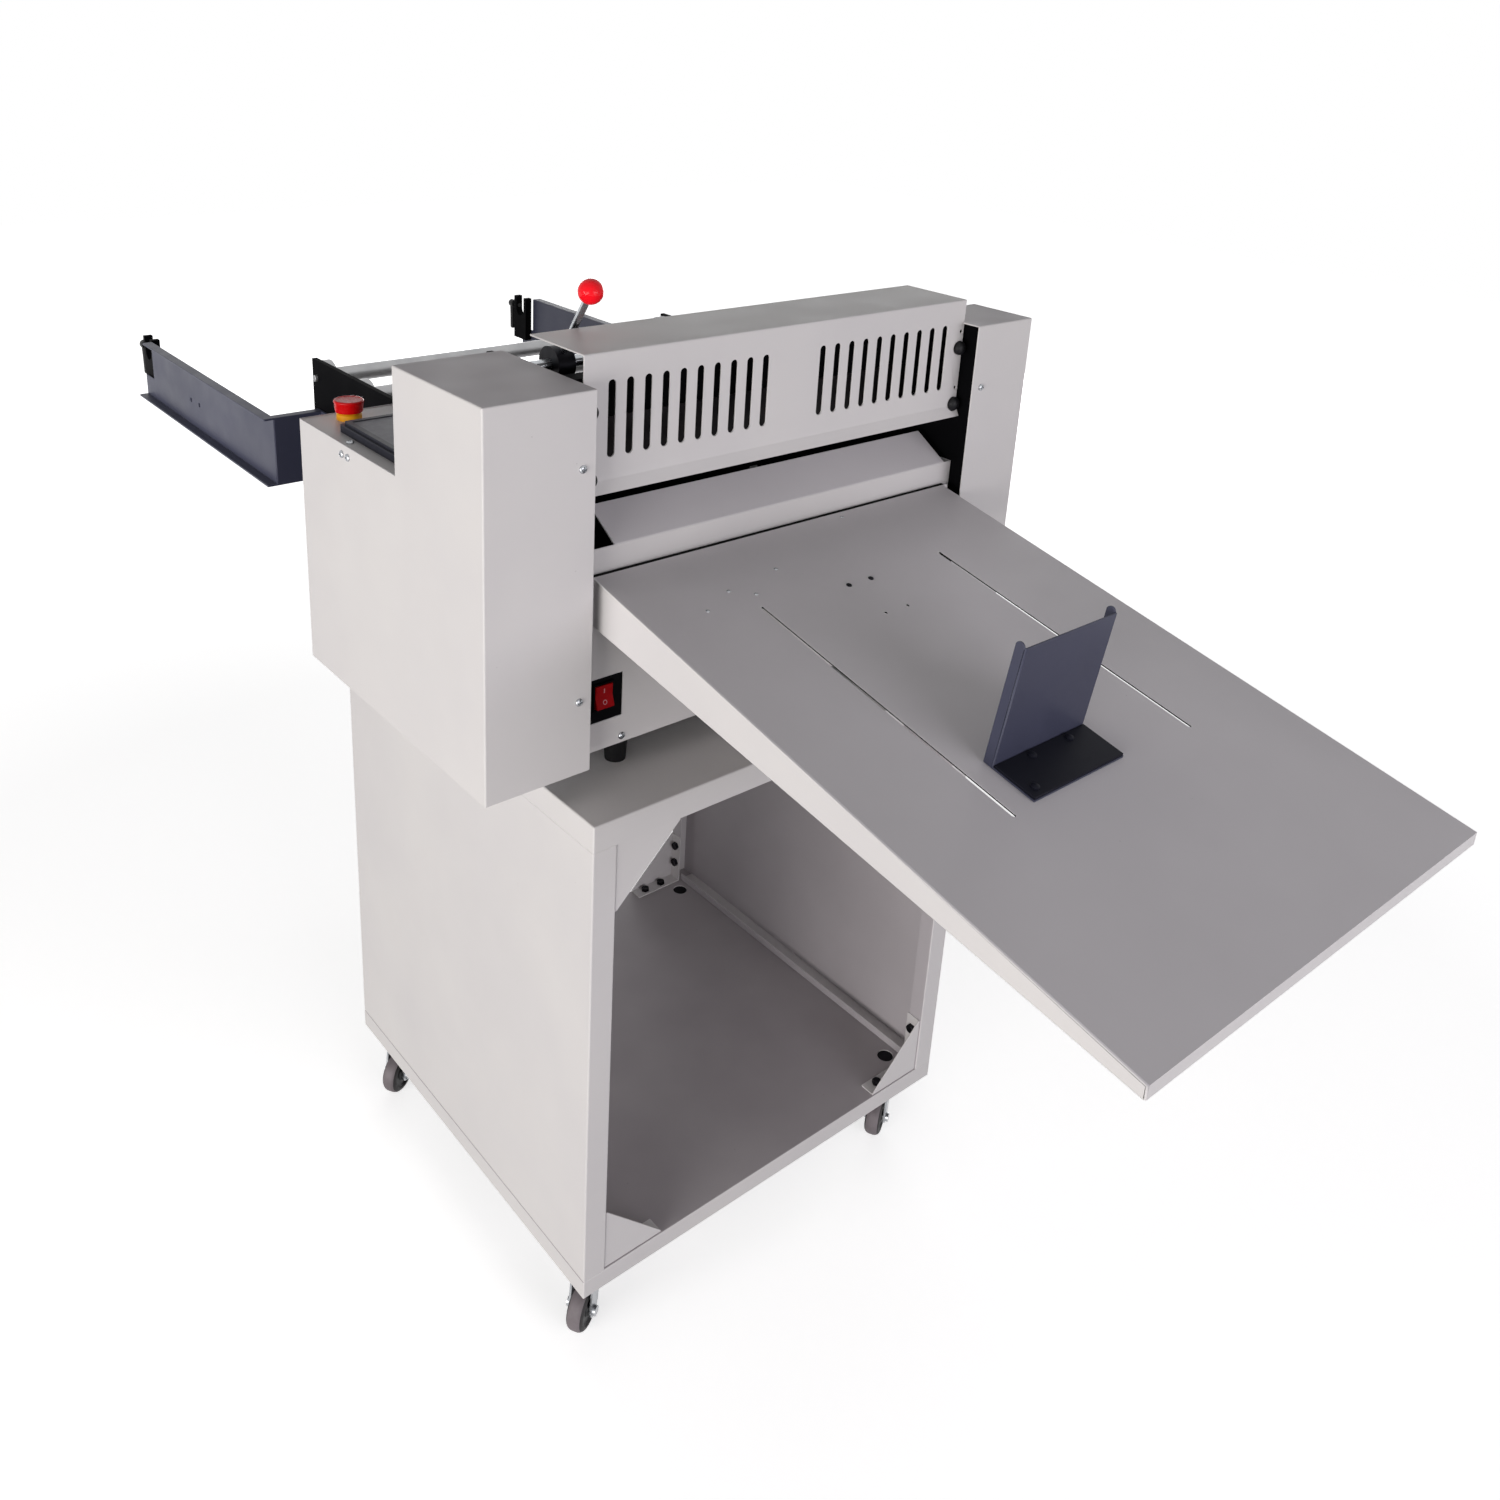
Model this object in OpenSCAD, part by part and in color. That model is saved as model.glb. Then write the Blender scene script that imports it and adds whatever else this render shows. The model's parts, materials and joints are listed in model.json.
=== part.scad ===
// Roll to sheet cutter on a wheeled stand.
// Millimetres. X runs to the right as seen from the delivery side, Y runs from the delivery side
// towards the roll, and Z is up. The origin lies on the floor under the middle of the stand.

/* [Stand] */
// Width of the stand
stand_w = 666; // [600:1:720]
// Depth of the stand
stand_d = 628; // [560:1:680]
// Height of the side panels, between the floor pan and the top
stand_side_h = 653; // [500:1:760]
// Height of the floor pan's skirt
pan_h = 28; // [24:1:40]
// Height of the top's skirt
cap_h = 35; // [25:1:60]
// Sheet of the stand
stand_sheet = 2; // [1.5:0.5:3]
// Width of the folded corner posts
post_w = 34; // [30:1:44]
// Depth of the lip folded back from each post
post_lip = 25; // [20:1:34]
// Height of the lip along the foot of each side panel
foot_lip = 14; // [10:1:22]
// Legs of the corner brackets
bracket_leg = 94; // [80:1:120]
// Width of the two flanges of a corner bracket
bracket_flange = 25; // [20:1:32]
// Width across the flats of the bracket bolts
bolt_af = 13; // [10:1:15]
// Height of the bracket bolts' heads
bolt_h = 6; // [4:0.5:8]
// Round hole over each caster
caster_hole_d = 25; // [20:1:40]

/* [Casters] */
// Height of the stand's lower edge above the floor
caster_h = 94; // [88:1:110]
// Diameter of the wheels
wheel_d = 63; // [50:1:72]
// Width of the wheels
wheel_w = 24; // [18:1:28]
// Distance of the wheel axle behind the swivel
caster_trail = 30; // [22:1:36]
// Distance of the swivel from the stand's edges
caster_inset = 50; // [46:1:70]
// Direction in which the wheels trail, in degrees
caster_heading = 210; // [0:1:359]
// Side of the square fixing plate
caster_plate = 60; // [50:1:70]
// Thickness of the fixing plate and the fork
caster_steel = 3; // [2:0.5:4]
// Diameter of the axle bolt
axle_d = 8; // [6:1:10]
// Diameter of the swivel pin
swivel_d = 10; // [8:1:14]

/* [Housings] */
// Width over both housings
machine_w = 870; // [820:1:900]
// Width of the left housing, which holds the controls
left_w = 140; // [124:1:150]
// Width of the right housing
right_w = 112; // [108:1:120]
// Distance of the housings' front from the middle of the stand
front_y = 250; // [235:1:270]
// Depth of the housings
housing_d = 450; // [430:1:500]
// Height of the housings
housing_h = 460; // [450:1:500]
// Depth of the left housing's low part at the back
low_d = 257; // [240:1:265]
// Depth of the right housing's low part at the back
right_low_d = 347; // [330:1:355]
// How far the low part lies under the top
low_drop = 128; // [120:1:140]
// Sheet of the housings and panels
sheet = 2; // [1.5:0.5:3]
// Height of the rubber feet
foot_h = 30; // [20:1:40]
// Diameter of the rubber feet
foot_d = 30; // [24:1:36]

/* [Frame] */
// How far the working width lies to the right of the stand's middle
frame_x = 18; // [10:1:20]
// Clear width between the side plates
frame_gap = 630; // [610:1:636]
// Thickness of the side plates
plate_t = 8; // [6:1:10]
// Distance of the side plates' rear edge behind the middle of the stand
plate_rear = 452; // [440:1:480]
// Height of the side plates at the back, above the base
plate_rear_h = 337; // [334:1:345]
// Thickness of the base plate
base_t = 3; // [2:0.5:5]

/* [Guard] */
// Width of the guard
guard_w = 620; // [590:1:626]
// Distance of the guard's face behind the housings' front
guard_set = 30; // [22:1:36]
// How far the guard stands above the housings
guard_rise = 30; // [24:1:40]
// Height of the guard's face
guard_h = 146; // [130:1:152]
// Depth of the guard's top
guard_d = 108; // [90:1:112]
// Length of the flared lip along the lower edge
lip_len = 16; // [10:1:20]
// Angle of the lip to the face, in degrees
lip_angle = 28; // [15:1:40]
// Slots in each half of the guard
slot_count = 10; // [6:1:10]
// Pitch of the slots
slot_pitch = 25; // [22:0.5:26]
// Width of the slots
slot_w = 10; // [5:0.5:12]
// Height of the slots
slot_h = 89; // [70:1:96]
// Distance from the guard's middle to the first slot
slot_first = 47; // [40:1:50]
// Diameter of the black screw knobs
knob_d = 19; // [14:1:22]
// Distance of the knobs from the guard's ends
knob_inset = 8; // [6:1:14]

/* [Front panel] */
// Height of the front panel
panel_h = 262; // [250:1:275]
// Depth of the slanted guide behind the panel
slant_d = 53; // [44:1:70]
// Rise of the slanted guide
slant_rise = 32; // [26:1:44]
// Distance of the slanted guide's left end from the side plate
slant_left = 52; // [20:1:70]
// Distance of the slanted guide's right end from the side plate
slant_right = 15; // [8:1:30]
// Width of the switch opening
switch_w = 56; // [48:1:60]
// Height of the switch opening
switch_h = 58; // [50:1:66]
// Width of the rocker
rocker_w = 25; // [20:1:30]
// Height of the rocker
rocker_h = 29; // [24:1:34]
// Tilt of the rocker to either side of its middle, in degrees
rocker_tilt = 8; // [5:1:10]

/* [Controls] */
// Diameter of the stop button's head
stop_d = 38; // [32:1:42]
// Height of the stop button's head
stop_h = 20; // [16:1:24]
// Travel of the stop button
stop_travel = 4; // [3:0.5:6]
// Width of the display
display_w = 84; // [80:1:104]
// Length of the display
display_l = 178; // [150:1:184]
// Height of the display's rim
display_h = 14; // [10:1:20]

/* [Feed] */
// Height of the nip of the feed rollers above the base
nip_h = 325; // [320:1:330]
// Distance of the feed rollers in front of the stand's middle
feed_y = 68; // [66:1:74]
// Diameter of the feed rollers
roller_d = 51; // [46:1:52]
// Diameter of the roller journals
journal_d = 15; // [12:1:18]
// Diameter of the idler tubes
idler_d = 24; // [20:1:30]
// Diameter of the collars at the ends of the idlers
collar_d = 50; // [40:1:54]
// Width of the collars
collar_w = 15; // [10:1:25]
// Distance of the rear idler in front of the side plates' rear edge
idler_rear_set = 14; // [12:1:30]
// Distance between the two idlers
idler_pitch = 121; // [100:1:140]
// Depth of the idlers under the side plates' top
idler_drop = 27; // [25:1:32]
// Lift of the pressure roller
lift = 4; // [3:0.5:5]

/* [Lever] */
// Height of the lever shaft above the base
lever_z = 438; // [436:1:442]
// Diameter of the lever shaft
lever_shaft_d = 14; // [12:1:16]
// Distance of the lever from the left side plate
lever_x = 72; // [50:1:120]
// Length of the lever from the shaft to the middle of the ball
lever_len = 118; // [110:1:150]
// Lean of the lever to the front, in degrees
lever_lean = 34; // [30:1:36]
// Swing of the lever to the back, in degrees
lever_swing = 80; // [60:1:85]
// Diameter of the lever's ball
ball_d = 30; // [25:1:35]
// Diameter of the lever's rod
rod_d = 9; // [7:0.5:10]
// Diameter of the lever's hub
hub_d = 44; // [36:1:46]
// Width of the lever's hub
hub_w = 24; // [18:1:30]

/* [Cutter] */
// Distance of the shear line in front of the stand's middle
knife_y = 134; // [132:1:138]
// Travel of the upper blade
knife_stroke = 16; // [14:1:18]
// Thickness of the upper blade
upper_blade_t = 4; // [3:0.5:5]
// Thickness of the lower blade
lower_blade_t = 8; // [6:0.5:10]
// Length of both blades
blade_len = 596; // [560:1:606]
// Depth of the blade beam
beam_d = 24; // [20:1:26]
// Height of the blade beam
beam_h = 80; // [70:1:84]
// Diameter of the crank disc
crank_d = 60; // [50:1:66]
// Diameter of the crank pin
crank_pin_d = 10; // [8:1:12]
// Diameter of the cutter motor
motor_d = 80; // [70:1:84]
// Side of the feed motor
feed_motor_w = 86; // [76:1:90]

/* [Tray] */
// Width of the tray
tray_w = 590; // [560:1:600]
// Distance of the tray's middle to the left of the working width's middle
tray_shift = 4; // [0:1:8]
// Length of the tray, measured level
tray_l = 746; // [650:1:800]
// Slope of the tray, in degrees
tray_slope = 11.5; // [8:0.5:14]
// Distance of the tray's rear wall from the front panel
tray_gap = 11; // [8:1:14]
// Height of the tray's rear edge above the base
tray_z = 233; // [215:1:240]
// Depth of the tray's sides at the back
tray_side_rear = 60; // [45:1:70]
// Depth of the tray's sides at the front
tray_side_front = 15; // [10:1:25]
// Distance between the two long slots
tray_slot_gap = 300; // [240:1:340]
// Start of the long slots, from the rear edge along the tray
tray_slot_start = 125; // [100:1:160]
// Length of the long slots
tray_slot_l = 380; // [300:1:420]
// Width of the long slots
tray_slot_w = 4; // [3:0.5:6]

/* [Backstop] */
// Width of the backstop
backstop_w = 148; // [120:1:180]
// Height of the backstop
backstop_h = 142; // [110:1:170]
// Depth of the backstop's side flanges
backstop_flange = 13; // [8:1:20]
// Depth of the backstop's base
backstop_base_d = 54; // [45:1:80]
// Thickness of the backstop's base
backstop_base_t = 3; // [2:0.5:5]
// Distance of the backstop from the tray's rear edge
backstop_s = 447; // [300:1:520]
// Distance of the backstop's middle to the left of the tray's middle
backstop_shift = 43; // [0:1:60]
// Lean of the backstop's plate from the upright, in degrees
backstop_lean = 8; // [5:0.5:11]

/* [Roll arms] */
// Distance of the left arm from the middle of the stand
arm_left_x = 380; // [360:1:400]
// Distance of the right arm from the middle of the stand
arm_right_x = 384; // [375:1:405]
// Front of the arms, behind the middle of the stand
arm_near = 422; // [405:1:424]
// Far end of the arms, behind the middle of the stand
arm_far = 975; // [850:1:1050]
// Height of the arms
arm_h = 102; // [98:1:125]
// Height of the arms' top above the base
arm_z = 265; // [255:1:300]
// Sheet of the arms
arm_sheet = 3; // [2:0.5:4]
// Width of the flanges along the arms
arm_flange = 14; // [10:1:20]
// Width of the notch that takes the roll's shaft
notch_w = 26; // [21:1:31]
// Depth of the notch
notch_depth = 38; // [34:1:44]
// Wall on each side of the notch
prong_t = 9; // [7:1:12]
// Thickness of the clamp blocks
clamp_t = 14; // [10:1:20]
// Height of the clamp blocks
clamp_h = 86; // [80:1:100]
// Length of the clamp levers' handles
clamp_lever_l = 52; // [40:1:65]

/* [Fits] */
// Radial clearance of a shaft in its bore
run_clear = 0.05; // [0.02:0.01:0.1]
// Clearance between sliding or turning faces
slide_clear = 0.3; // [0.2:0.1:0.6]

/* [Hidden] */
$fn = 64;

// Colours as seen on the machine
pale = "#dcd9d6";
grey = "#a5a3a3";
slate = "#4b4e60";
black = "#1b1b1f";
zinc = "#c9ccd0";
steel = "#b9bdc2";
dark_rubber = "#242427";

// Heights of the stand and the machine
pan_top = caster_h + pan_h;
cap_z = pan_top + stand_side_h;
table_z = cap_z + cap_h;
base_z = table_z + foot_h;
top_z = base_z + housing_h;
low_z = top_z - low_drop;
deck_z = base_z + base_t;
foot_lip_set = 4;
flange_gap = 1;
bracket_tip = 3;
bolt_end = 22;
bolt_pitch = 36;
bolt_places = [bracket_leg - bolt_end - bolt_pitch, bracket_leg - bolt_end];

// Planes of the machine across its width and depth
left_x = -machine_w / 2;
right_x = machine_w / 2;
left_in = left_x + left_w;
right_in = right_x - right_w;
rear_y = housing_d - front_y;
low_y = rear_y - low_d;
right_low_y = rear_y - right_low_d;
face_y = guard_set - front_y;
plate_l = frame_x - frame_gap / 2;
plate_r = frame_x + frame_gap / 2;
plate_set_in = 2;
plate_front = sheet + plate_set_in - front_y;
plate_top = top_z - sheet - plate_set_in;
plate_rear_z = deck_z + plate_rear_h - base_t;
plate_step = 17;
plate_slope = 60;
plate_high_y = low_y + plate_step;
plate_slope_y = plate_high_y + plate_slope;
plate_heel = 6;
plate_heel_z = base_z + arm_z - arm_h - plate_heel;
plate_reach = 100;
plate_foot_y = rear_y + plate_reach;
cover_gap = 0.3;
fit_clear = 0.2;
cut = 1;

// Feed rollers, one above the other
roll_y = -feed_y;
nip_z = base_z + nip_h;
drive_z = nip_z - (roller_d + slide_clear) / 2;
press_z = nip_z + (roller_d + slide_clear) / 2;
roller_gap = 13;
roller_len = frame_gap - 2 * roller_gap;
journal_end = 0.6;

// Idlers behind the feed rollers
idler_z = plate_rear_z - idler_drop;
idler_y = [plate_rear - idler_rear_set, plate_rear - idler_rear_set - idler_pitch];
idler_pin_d = 10;
idler_pin_out = 4;

// Lever shaft, with an eccentric at each end that lifts the pressure straps
shaft_y = roll_y;
shaft_z = base_z + lever_z;
cam_rest = 90 + lever_swing / 2;
cam_e = lift / (2 * sin(lever_swing / 2));
cam_d = 24;
cam_t = 7;
cam_set = 0.5;
strap_t = 8;
strap_w = 52;
strap_bar = 4;
strap_window_top = shaft_z + cam_d / 2 + cam_e * cos(cam_rest) + slide_clear;
strap_window_bottom = shaft_z - cam_d / 2 - cam_e - lift - slide_clear;
strap_window_w = cam_d + 2 * cam_e + 2 * slide_clear;
strap_foot = 12;
ball_bore = 10;
shaft_out = 3;
shaft_in = 8;
shaft_end = 2;

// Cutter: the beam carries the upper blade and ends in a tongue at each side plate
shear_y = -knife_y;
crank_r = knife_stroke / 2;
blade_gap = 0.3;
edge_drop = 1;
edge_open = 5;
lower_edge_z = nip_z - edge_drop;
upper_edge_z = nip_z + edge_open;
blade_slant = 6;
upper_blade_h = 56;
lower_blade_h = 30;
blade_show = 26;
beam_z = upper_edge_z + blade_show;
beam_y = shear_y + beam_d / 2;
tongue_set = 3;
tongue_step = 10;
tongue_d = beam_d - 2 * tongue_set;
tongue_h = beam_h - 2 * tongue_step;
tongue_z = beam_z + tongue_step;
crank_set = 30;
crank_y = beam_y - crank_set;
crank_z = tongue_z + tongue_h / 2 - crank_r;
yoke_t = 10;
yoke_w = 46;
yoke_h = 40;
yoke_bite = 0.5;
yoke_gap = 7;
yoke_x = plate_l - plate_t - yoke_gap - yoke_t;
yoke_sway = 0.22;
yoke_play = 0.5;
yoke_slack = yoke_sway * crank_r + yoke_play;
disc_t = 10;
disc_gap = 6;
disc_x = yoke_x - disc_gap - disc_t;
motor_flange_t = 4;
flange_room = 4;
motor_room = 8;
motor_flange_x = disc_x - flange_room - motor_flange_t;
motor_len = motor_flange_x - left_x - sheet - motor_room;
motor_shaft_d = 14;
post_d = 10;
post_y = 31;
post_z = 45;
bed_d = 28;
bed_h = 42;
bed_drop = 5;
bed_top = nip_z - bed_drop;

// Feed drive in the right housing
pulley_gap = 5;
pulley_x = plate_r + plate_t + pulley_gap;
pulley_w = 12;
pulley_flange = 1.5;
roller_pulley_d = 40;
motor_pulley_d = 24;
belt_t = 2.5;
belt_span = 140;
feed_motor_z = drive_z - belt_span;
feed_motor_x = pulley_x + pulley_w + flange_room;
feed_motor_len = right_x - sheet - motor_room - feed_motor_x - motor_flange_t;
feed_shaft_d = 12;

// Front panel and guard
bend_z = base_z + panel_h;
guard_top = top_z + guard_rise;
guard_bend = guard_top - guard_h;
guard_l = frame_x - guard_w / 2;
guard_r = frame_x + guard_w / 2;
slot_up = 25;
slot_z = guard_bend + slot_up;
knob_low = 3;
knob_high = 81;
knob_rows = [guard_bend + knob_low, guard_bend + knob_high];
knob_h = 10;
knob_stud_d = 5;
knob_stud_out = 4;
lip_relief = 1;
pilot_d = 5;
pilot_up = 22;
tab_w = 26;
tab_t = 3;
tab_h = 24;
switch_set = 13;
switch_up = 38;
switch_x = plate_l + switch_set;
switch_z = base_z + switch_up;
switch_plate_t = 3;
switch_rim = 5;
panel_flange = 20;
rocker_x = switch_x + switch_w / 2;
rocker_up = 4;
rocker_in = 5;
rocker_z = switch_z + switch_h / 2 + rocker_up;
rocker_pivot_y = face_y + rocker_in;
rocker_room = 1.6;
rocker_front = 9;
rocker_hollow = 2.5;
rocker_back = 5;
rocker_pin_d = 4;
rocker_pin_out = 1.5;
switch_wall = 2;
switch_box_d = 18;
switch_proud = 1;

// Controls on the low part of the left housing
plate_set = 3;
panel_z = low_z - plate_set + sheet;
stop_set = 54;
stop_back = 30;
stop_x = left_x + stop_set;
stop_y = rear_y - stop_back;
stop_collar_d = 32;
stop_collar_h = 9;
stop_chamfer = 2;
stop_neck_d = 30;
stop_band = 6;
stop_dome_r = 61;
stop_barrel_d = 22;
stop_barrel_l = 18;
stop_stem_d = 14;
display_set = 20;
display_gap = 44;
display_x = left_x + display_set;
display_y = stop_y - display_gap - display_l;
rim_w = 12;
rim_step = 4;
rim_r = 4;
glass_t = 2;
glass_set = 1;

// Pan head screws
screw_d = 9.5;
screw_h = 3;
screw_edge = 17;
control_screw_set = 11;
screw_low = 94;
screw_high = 374;
screw_rows = [base_z + screw_low, base_z + screw_high];
panel_screw_set = 69;
side_screw_back = 122;
side_screw_pitch = 16;
side_screw_y = [rear_y - side_screw_back, rear_y - side_screw_back - side_screw_pitch];
side_screw_drop = 13;

// Tray, worked out in the YZ plane
tray_x = frame_x - tray_shift;
tray_rear_y = face_y - tray_gap;
tray_front_y = tray_rear_y - tray_l;
tray_rear_z = base_z + tray_z;
tray_front_z = tray_rear_z - tray_l * tan(tray_slope);
tray_ear = 8;
hook_w = 40;
hook_t = 3;
hook_gap = 360;
hook_drop = 22;
hook_clear = 0.2;
hole_gap = 37;
hole_pitch = 62;
hole_start = 134;
hole_d = 5;

// Backstop, in the tray's own slope
backstop_x = tray_x - backstop_shift;
backstop_sheet = 2;
backstop_ear = 4;
backstop_edge = 1;
backstop_screws = [[-23, 8], [38, 8], [-60, 42]];

// Roll arms
arm_top = base_z + arm_z;
arm_tab = 42;
clamp_overlap = 20;
clamp_l = notch_w + 2 * prong_t;
clamp_set = 13;
clamp_up = 1;
clamp_y = arm_far - clamp_set;
clamp_top = arm_top + clamp_up;
notch_z = clamp_top - notch_depth + notch_w / 2;
clamp_stud_d = 8;
clamp_stud_out = 8;
clamp_head_d = 15;
clamp_head_l = 15;
clamp_handle_d = 13;
clamp_tip_d = 9;
clamp_screw_drop = 20;
clamp_screw_z = clamp_top - clamp_screw_drop;
arm_holes = [217, 253];
arm_hole_d = 7;
arm_hole_drop = 6;
arm_hole_z = arm_top - arm_h / 2 - arm_hole_drop;
arm_end_gap = 5;

// Casters
caster_x = stand_w / 2 - caster_inset;
caster_y = stand_d / 2 - caster_inset;
caster_plate_z = pan_top - stand_sheet - caster_steel;
fork_top = caster_plate_z - slide_clear;
fork_gap = 2;
fork_head_d = 44;
fork_lead = 4;
fork_reach = fork_head_d / 2 + fork_lead;
fork_eye_r = 10;
swivel_tail = 6;
swivel_z = fork_top - caster_steel - swivel_tail;
tread_r = 5;
wheel_hub_r = 11;
wheel_rim = 9.5;
web_depth = 3;
fork_out = wheel_w / 2 + fork_gap + caster_steel;
axle_head_d = 14;
axle_head_t = 4;

foot_gap = 484;
foot_front = 17;
foot_back = 20;
foot_x = [frame_x - foot_gap / 2, frame_x + foot_gap / 2];
foot_y = [face_y + foot_front, rear_y - foot_back];
foot_taper = 2;
foot_collar = 4;

// Power supply and control board, with the blocks on the board as x, y, width, depth and height
supply_size = [180, 120, 50];
supply_set = 200;
supply_x = frame_x - supply_set;
board_size = [190, 140, 2];
board_set = 40;
board_x = frame_x + board_set;
board_up = 10;
board_blocks = [[20, 30, 50, 50, 25], [110, 30, 60, 40, 13]];
standoff_d = 8;
standoff_set = 10;

// Helpers

module flip(axis, on) {
    if (on) mirror(axis) children();
    else children();
}

// A YZ outline carried along X
module along_x(x, t) {
    translate([x, 0, 0]) rotate([90, 0, 90]) linear_extrude(t) children();
}

// A round bar along X
module x_bar(x0, x1, y, z, d) {
    translate([x0, y, z]) rotate([0, 90, 0]) cylinder(d = d, h = x1 - x0);
}

// A round bar along Y
module y_bar(x, y0, y1, z, d) {
    translate([x, y1, z]) rotate([90, 0, 0]) cylinder(d = d, h = y1 - y0);
}

// A box given by its two corners
module span(low, high) {
    translate(low) cube(high - low);
}

// A rectangle with round corners
module round_rect(w, h, r) {
    translate([r, 0]) square([w - 2 * r, h]);
    translate([0, r]) square([w, h - 2 * r]);
    for (x = [r, w - r], y = [r, h - r]) translate([x, y]) circle(r);
}

// A domed screw head on the XY plane
module pan_head(d, h) {
    sunk = 0.6 * d;
    rotate_extrude() intersection() {
        square([d / 2, h]);
        translate([0, -sunk]) circle(sunk + h);
    }
}

// The tray's slope: x across, s down the slope from the rear edge, h square to the sheet
module on_tray(x, s) {
    translate([x, tray_rear_y, tray_rear_z]) rotate([tray_slope, 0, 0]) translate([0, -s, 0]) children();
}

// Stand

// One side panel: a wall folded into a post at each end, with lips, a foot flange and a top flange
module stand_side(right) {
    x = stand_w / 2;
    t = stand_sheet;
    y = stand_d / 2;
    color(pale) flip([1, 0, 0], !right) {
        span([x - t, -y, pan_top], [x, y, cap_z]);
        for (front = [true, false]) flip([0, 1, 0], !front) {
            span([x - post_w, -y, pan_top], [x - t / 2, -y + t, cap_z]);
            span([x - post_w, -y, pan_top], [x - post_w + t, -y + post_lip, cap_z]);
        }
        inner = y - post_lip - flange_gap;
        lip_x = x - post_w + foot_lip_set;
        span([lip_x, -inner, pan_top], [x - t / 2, inner, pan_top + t]);
        span([lip_x, -inner, pan_top], [lip_x + t, inner, pan_top + foot_lip]);
        span([lip_x, -inner, cap_z - t], [x - t / 2, inner, cap_z]);
    }
}

module stand_side_left() { stand_side(false); }
module stand_side_right() { stand_side(true); }

// A tray of sheet with a skirt all round, open below
module skirted_sheet(z, h) {
    x = stand_w / 2;
    y = stand_d / 2;
    t = stand_sheet;
    difference() {
        span([-x, -y, z], [x, y, z + h]);
        span([-x + t, -y + t, z - cut], [x - t, y - t, z + h - t]);
    }
}

module stand_top() { color(pale) skirted_sheet(cap_z, cap_h); }

module stand_floor() {
    color(pale) difference() {
        skirted_sheet(caster_h, pan_h);
        for (sx = [-1, 1], sy = [-1, 1])
            translate([sx * caster_x, sy * caster_y, pan_top - stand_sheet - cut])
                cylinder(d = caster_hole_d, h = stand_sheet + 2 * cut);
    }
}

// Places its child in the eight corners of the two open ends
module at_corners() {
    for (right = [false, true], rear = [false, true], up = [false, true])
        translate([0, 0, up ? cap_z : pan_top])
            flip([0, 0, 1], up) flip([1, 0, 0], right) flip([0, 1, 0], rear)
                translate([-stand_w / 2 + post_w, -stand_d / 2 + stand_sheet, 0]) children();
}

// A triangle of sheet with a flange folded back from each leg
module corner_brackets() {
    t = stand_sheet;
    color(pale) at_corners() {
        translate([0, t, 0]) rotate([90, 0, 0]) linear_extrude(t)
            polygon([
                [0, 0], [bracket_leg, 0], [bracket_leg, bracket_tip],
                [bracket_tip, bracket_leg], [0, bracket_leg]
            ]);
        cube([bracket_leg, bracket_flange, t]);
        cube([t, bracket_flange, bracket_leg]);
    }
}

module bracket_bolts() {
    t = stand_sheet;
    d = bolt_af / cos(30);
    y = (t + bracket_flange) / 2;
    color(black) at_corners() for (s = bolt_places) {
        translate([s, y, t]) cylinder(d = d, h = bolt_h, $fn = 6);
        translate([t, y, s]) rotate([0, 90, 0]) cylinder(d = d, h = bolt_h, $fn = 6);
    }
}

// Casters

module at_caster(sx, sy) {
    translate([sx * caster_x, sy * caster_y, 0]) children();
}

module caster_plates() {
    color(zinc) for (sx = [-1, 1], sy = [-1, 1]) at_caster(sx, sy) {
        translate([-caster_plate / 2, -caster_plate / 2, caster_plate_z])
            cube([caster_plate, caster_plate, caster_steel]);
        translate([0, 0, swivel_z]) cylinder(d = swivel_d, h = caster_plate_z + caster_steel / 2 - swivel_z);
    }
}

// A fork that swivels on the plate's pin, with its axle bolt
module caster_fork(sx, sy) {
    color(zinc) at_caster(sx, sy) rotate([0, 0, caster_heading]) {
        difference() {
            union() {
                translate([0, 0, fork_top - caster_steel]) cylinder(d = fork_head_d, h = caster_steel);
                translate([0, -fork_out, fork_top - caster_steel])
                    cube([fork_reach, 2 * fork_out, caster_steel]);
                for (s = [-1, 1]) translate([0, s > 0 ? fork_out : -fork_out + caster_steel, 0])
                    rotate([90, 0, 0]) linear_extrude(caster_steel) {
                        polygon([
                            [0, fork_top - caster_steel / 2], [fork_reach, fork_top - caster_steel / 2],
                            [caster_trail + fork_eye_r, wheel_d / 2],
                            [caster_trail - fork_eye_r, wheel_d / 2]
                        ]);
                        translate([caster_trail, wheel_d / 2]) circle(fork_eye_r);
                    }
            }
            translate([0, 0, fork_top - caster_steel - cut])
                cylinder(d = swivel_d + 2 * run_clear, h = caster_steel + 2 * cut);
        }
        axle_l = fork_out + axle_head_t;
        y_bar(caster_trail, -fork_out, fork_out, wheel_d / 2, axle_d);
        for (y = [-axle_l, fork_out]) y_bar(caster_trail, y, y + axle_head_t, wheel_d / 2, axle_head_d);
    }
}

module caster_fork_front_left() { caster_fork(-1, -1); }
module caster_fork_front_right() { caster_fork(1, -1); }
module caster_fork_rear_left() { caster_fork(-1, 1); }
module caster_fork_rear_right() { caster_fork(1, 1); }

// A wheel with a rounded tread, a hub and a recessed web
module caster_wheel(sx, sy) {
    r = wheel_d / 2;
    bore = axle_d / 2 + run_clear;
    w = wheel_w / 2;
    color(dark_rubber) at_caster(sx, sy) rotate([0, 0, caster_heading])
        translate([caster_trail, 0, r]) rotate([90, 0, 0]) rotate_extrude() difference() {
            union() {
                translate([bore, -w]) square([r - tread_r - bore, wheel_w]);
                translate([bore, tread_r - w]) square([r - bore, wheel_w - 2 * tread_r]);
                for (y = [tread_r - w, w - tread_r]) translate([r - tread_r, y]) circle(tread_r);
            }
            for (y = [-w - cut, w - web_depth]) translate([wheel_hub_r, y])
                square([r - wheel_rim - wheel_hub_r, web_depth + cut]);
        }
}

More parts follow.
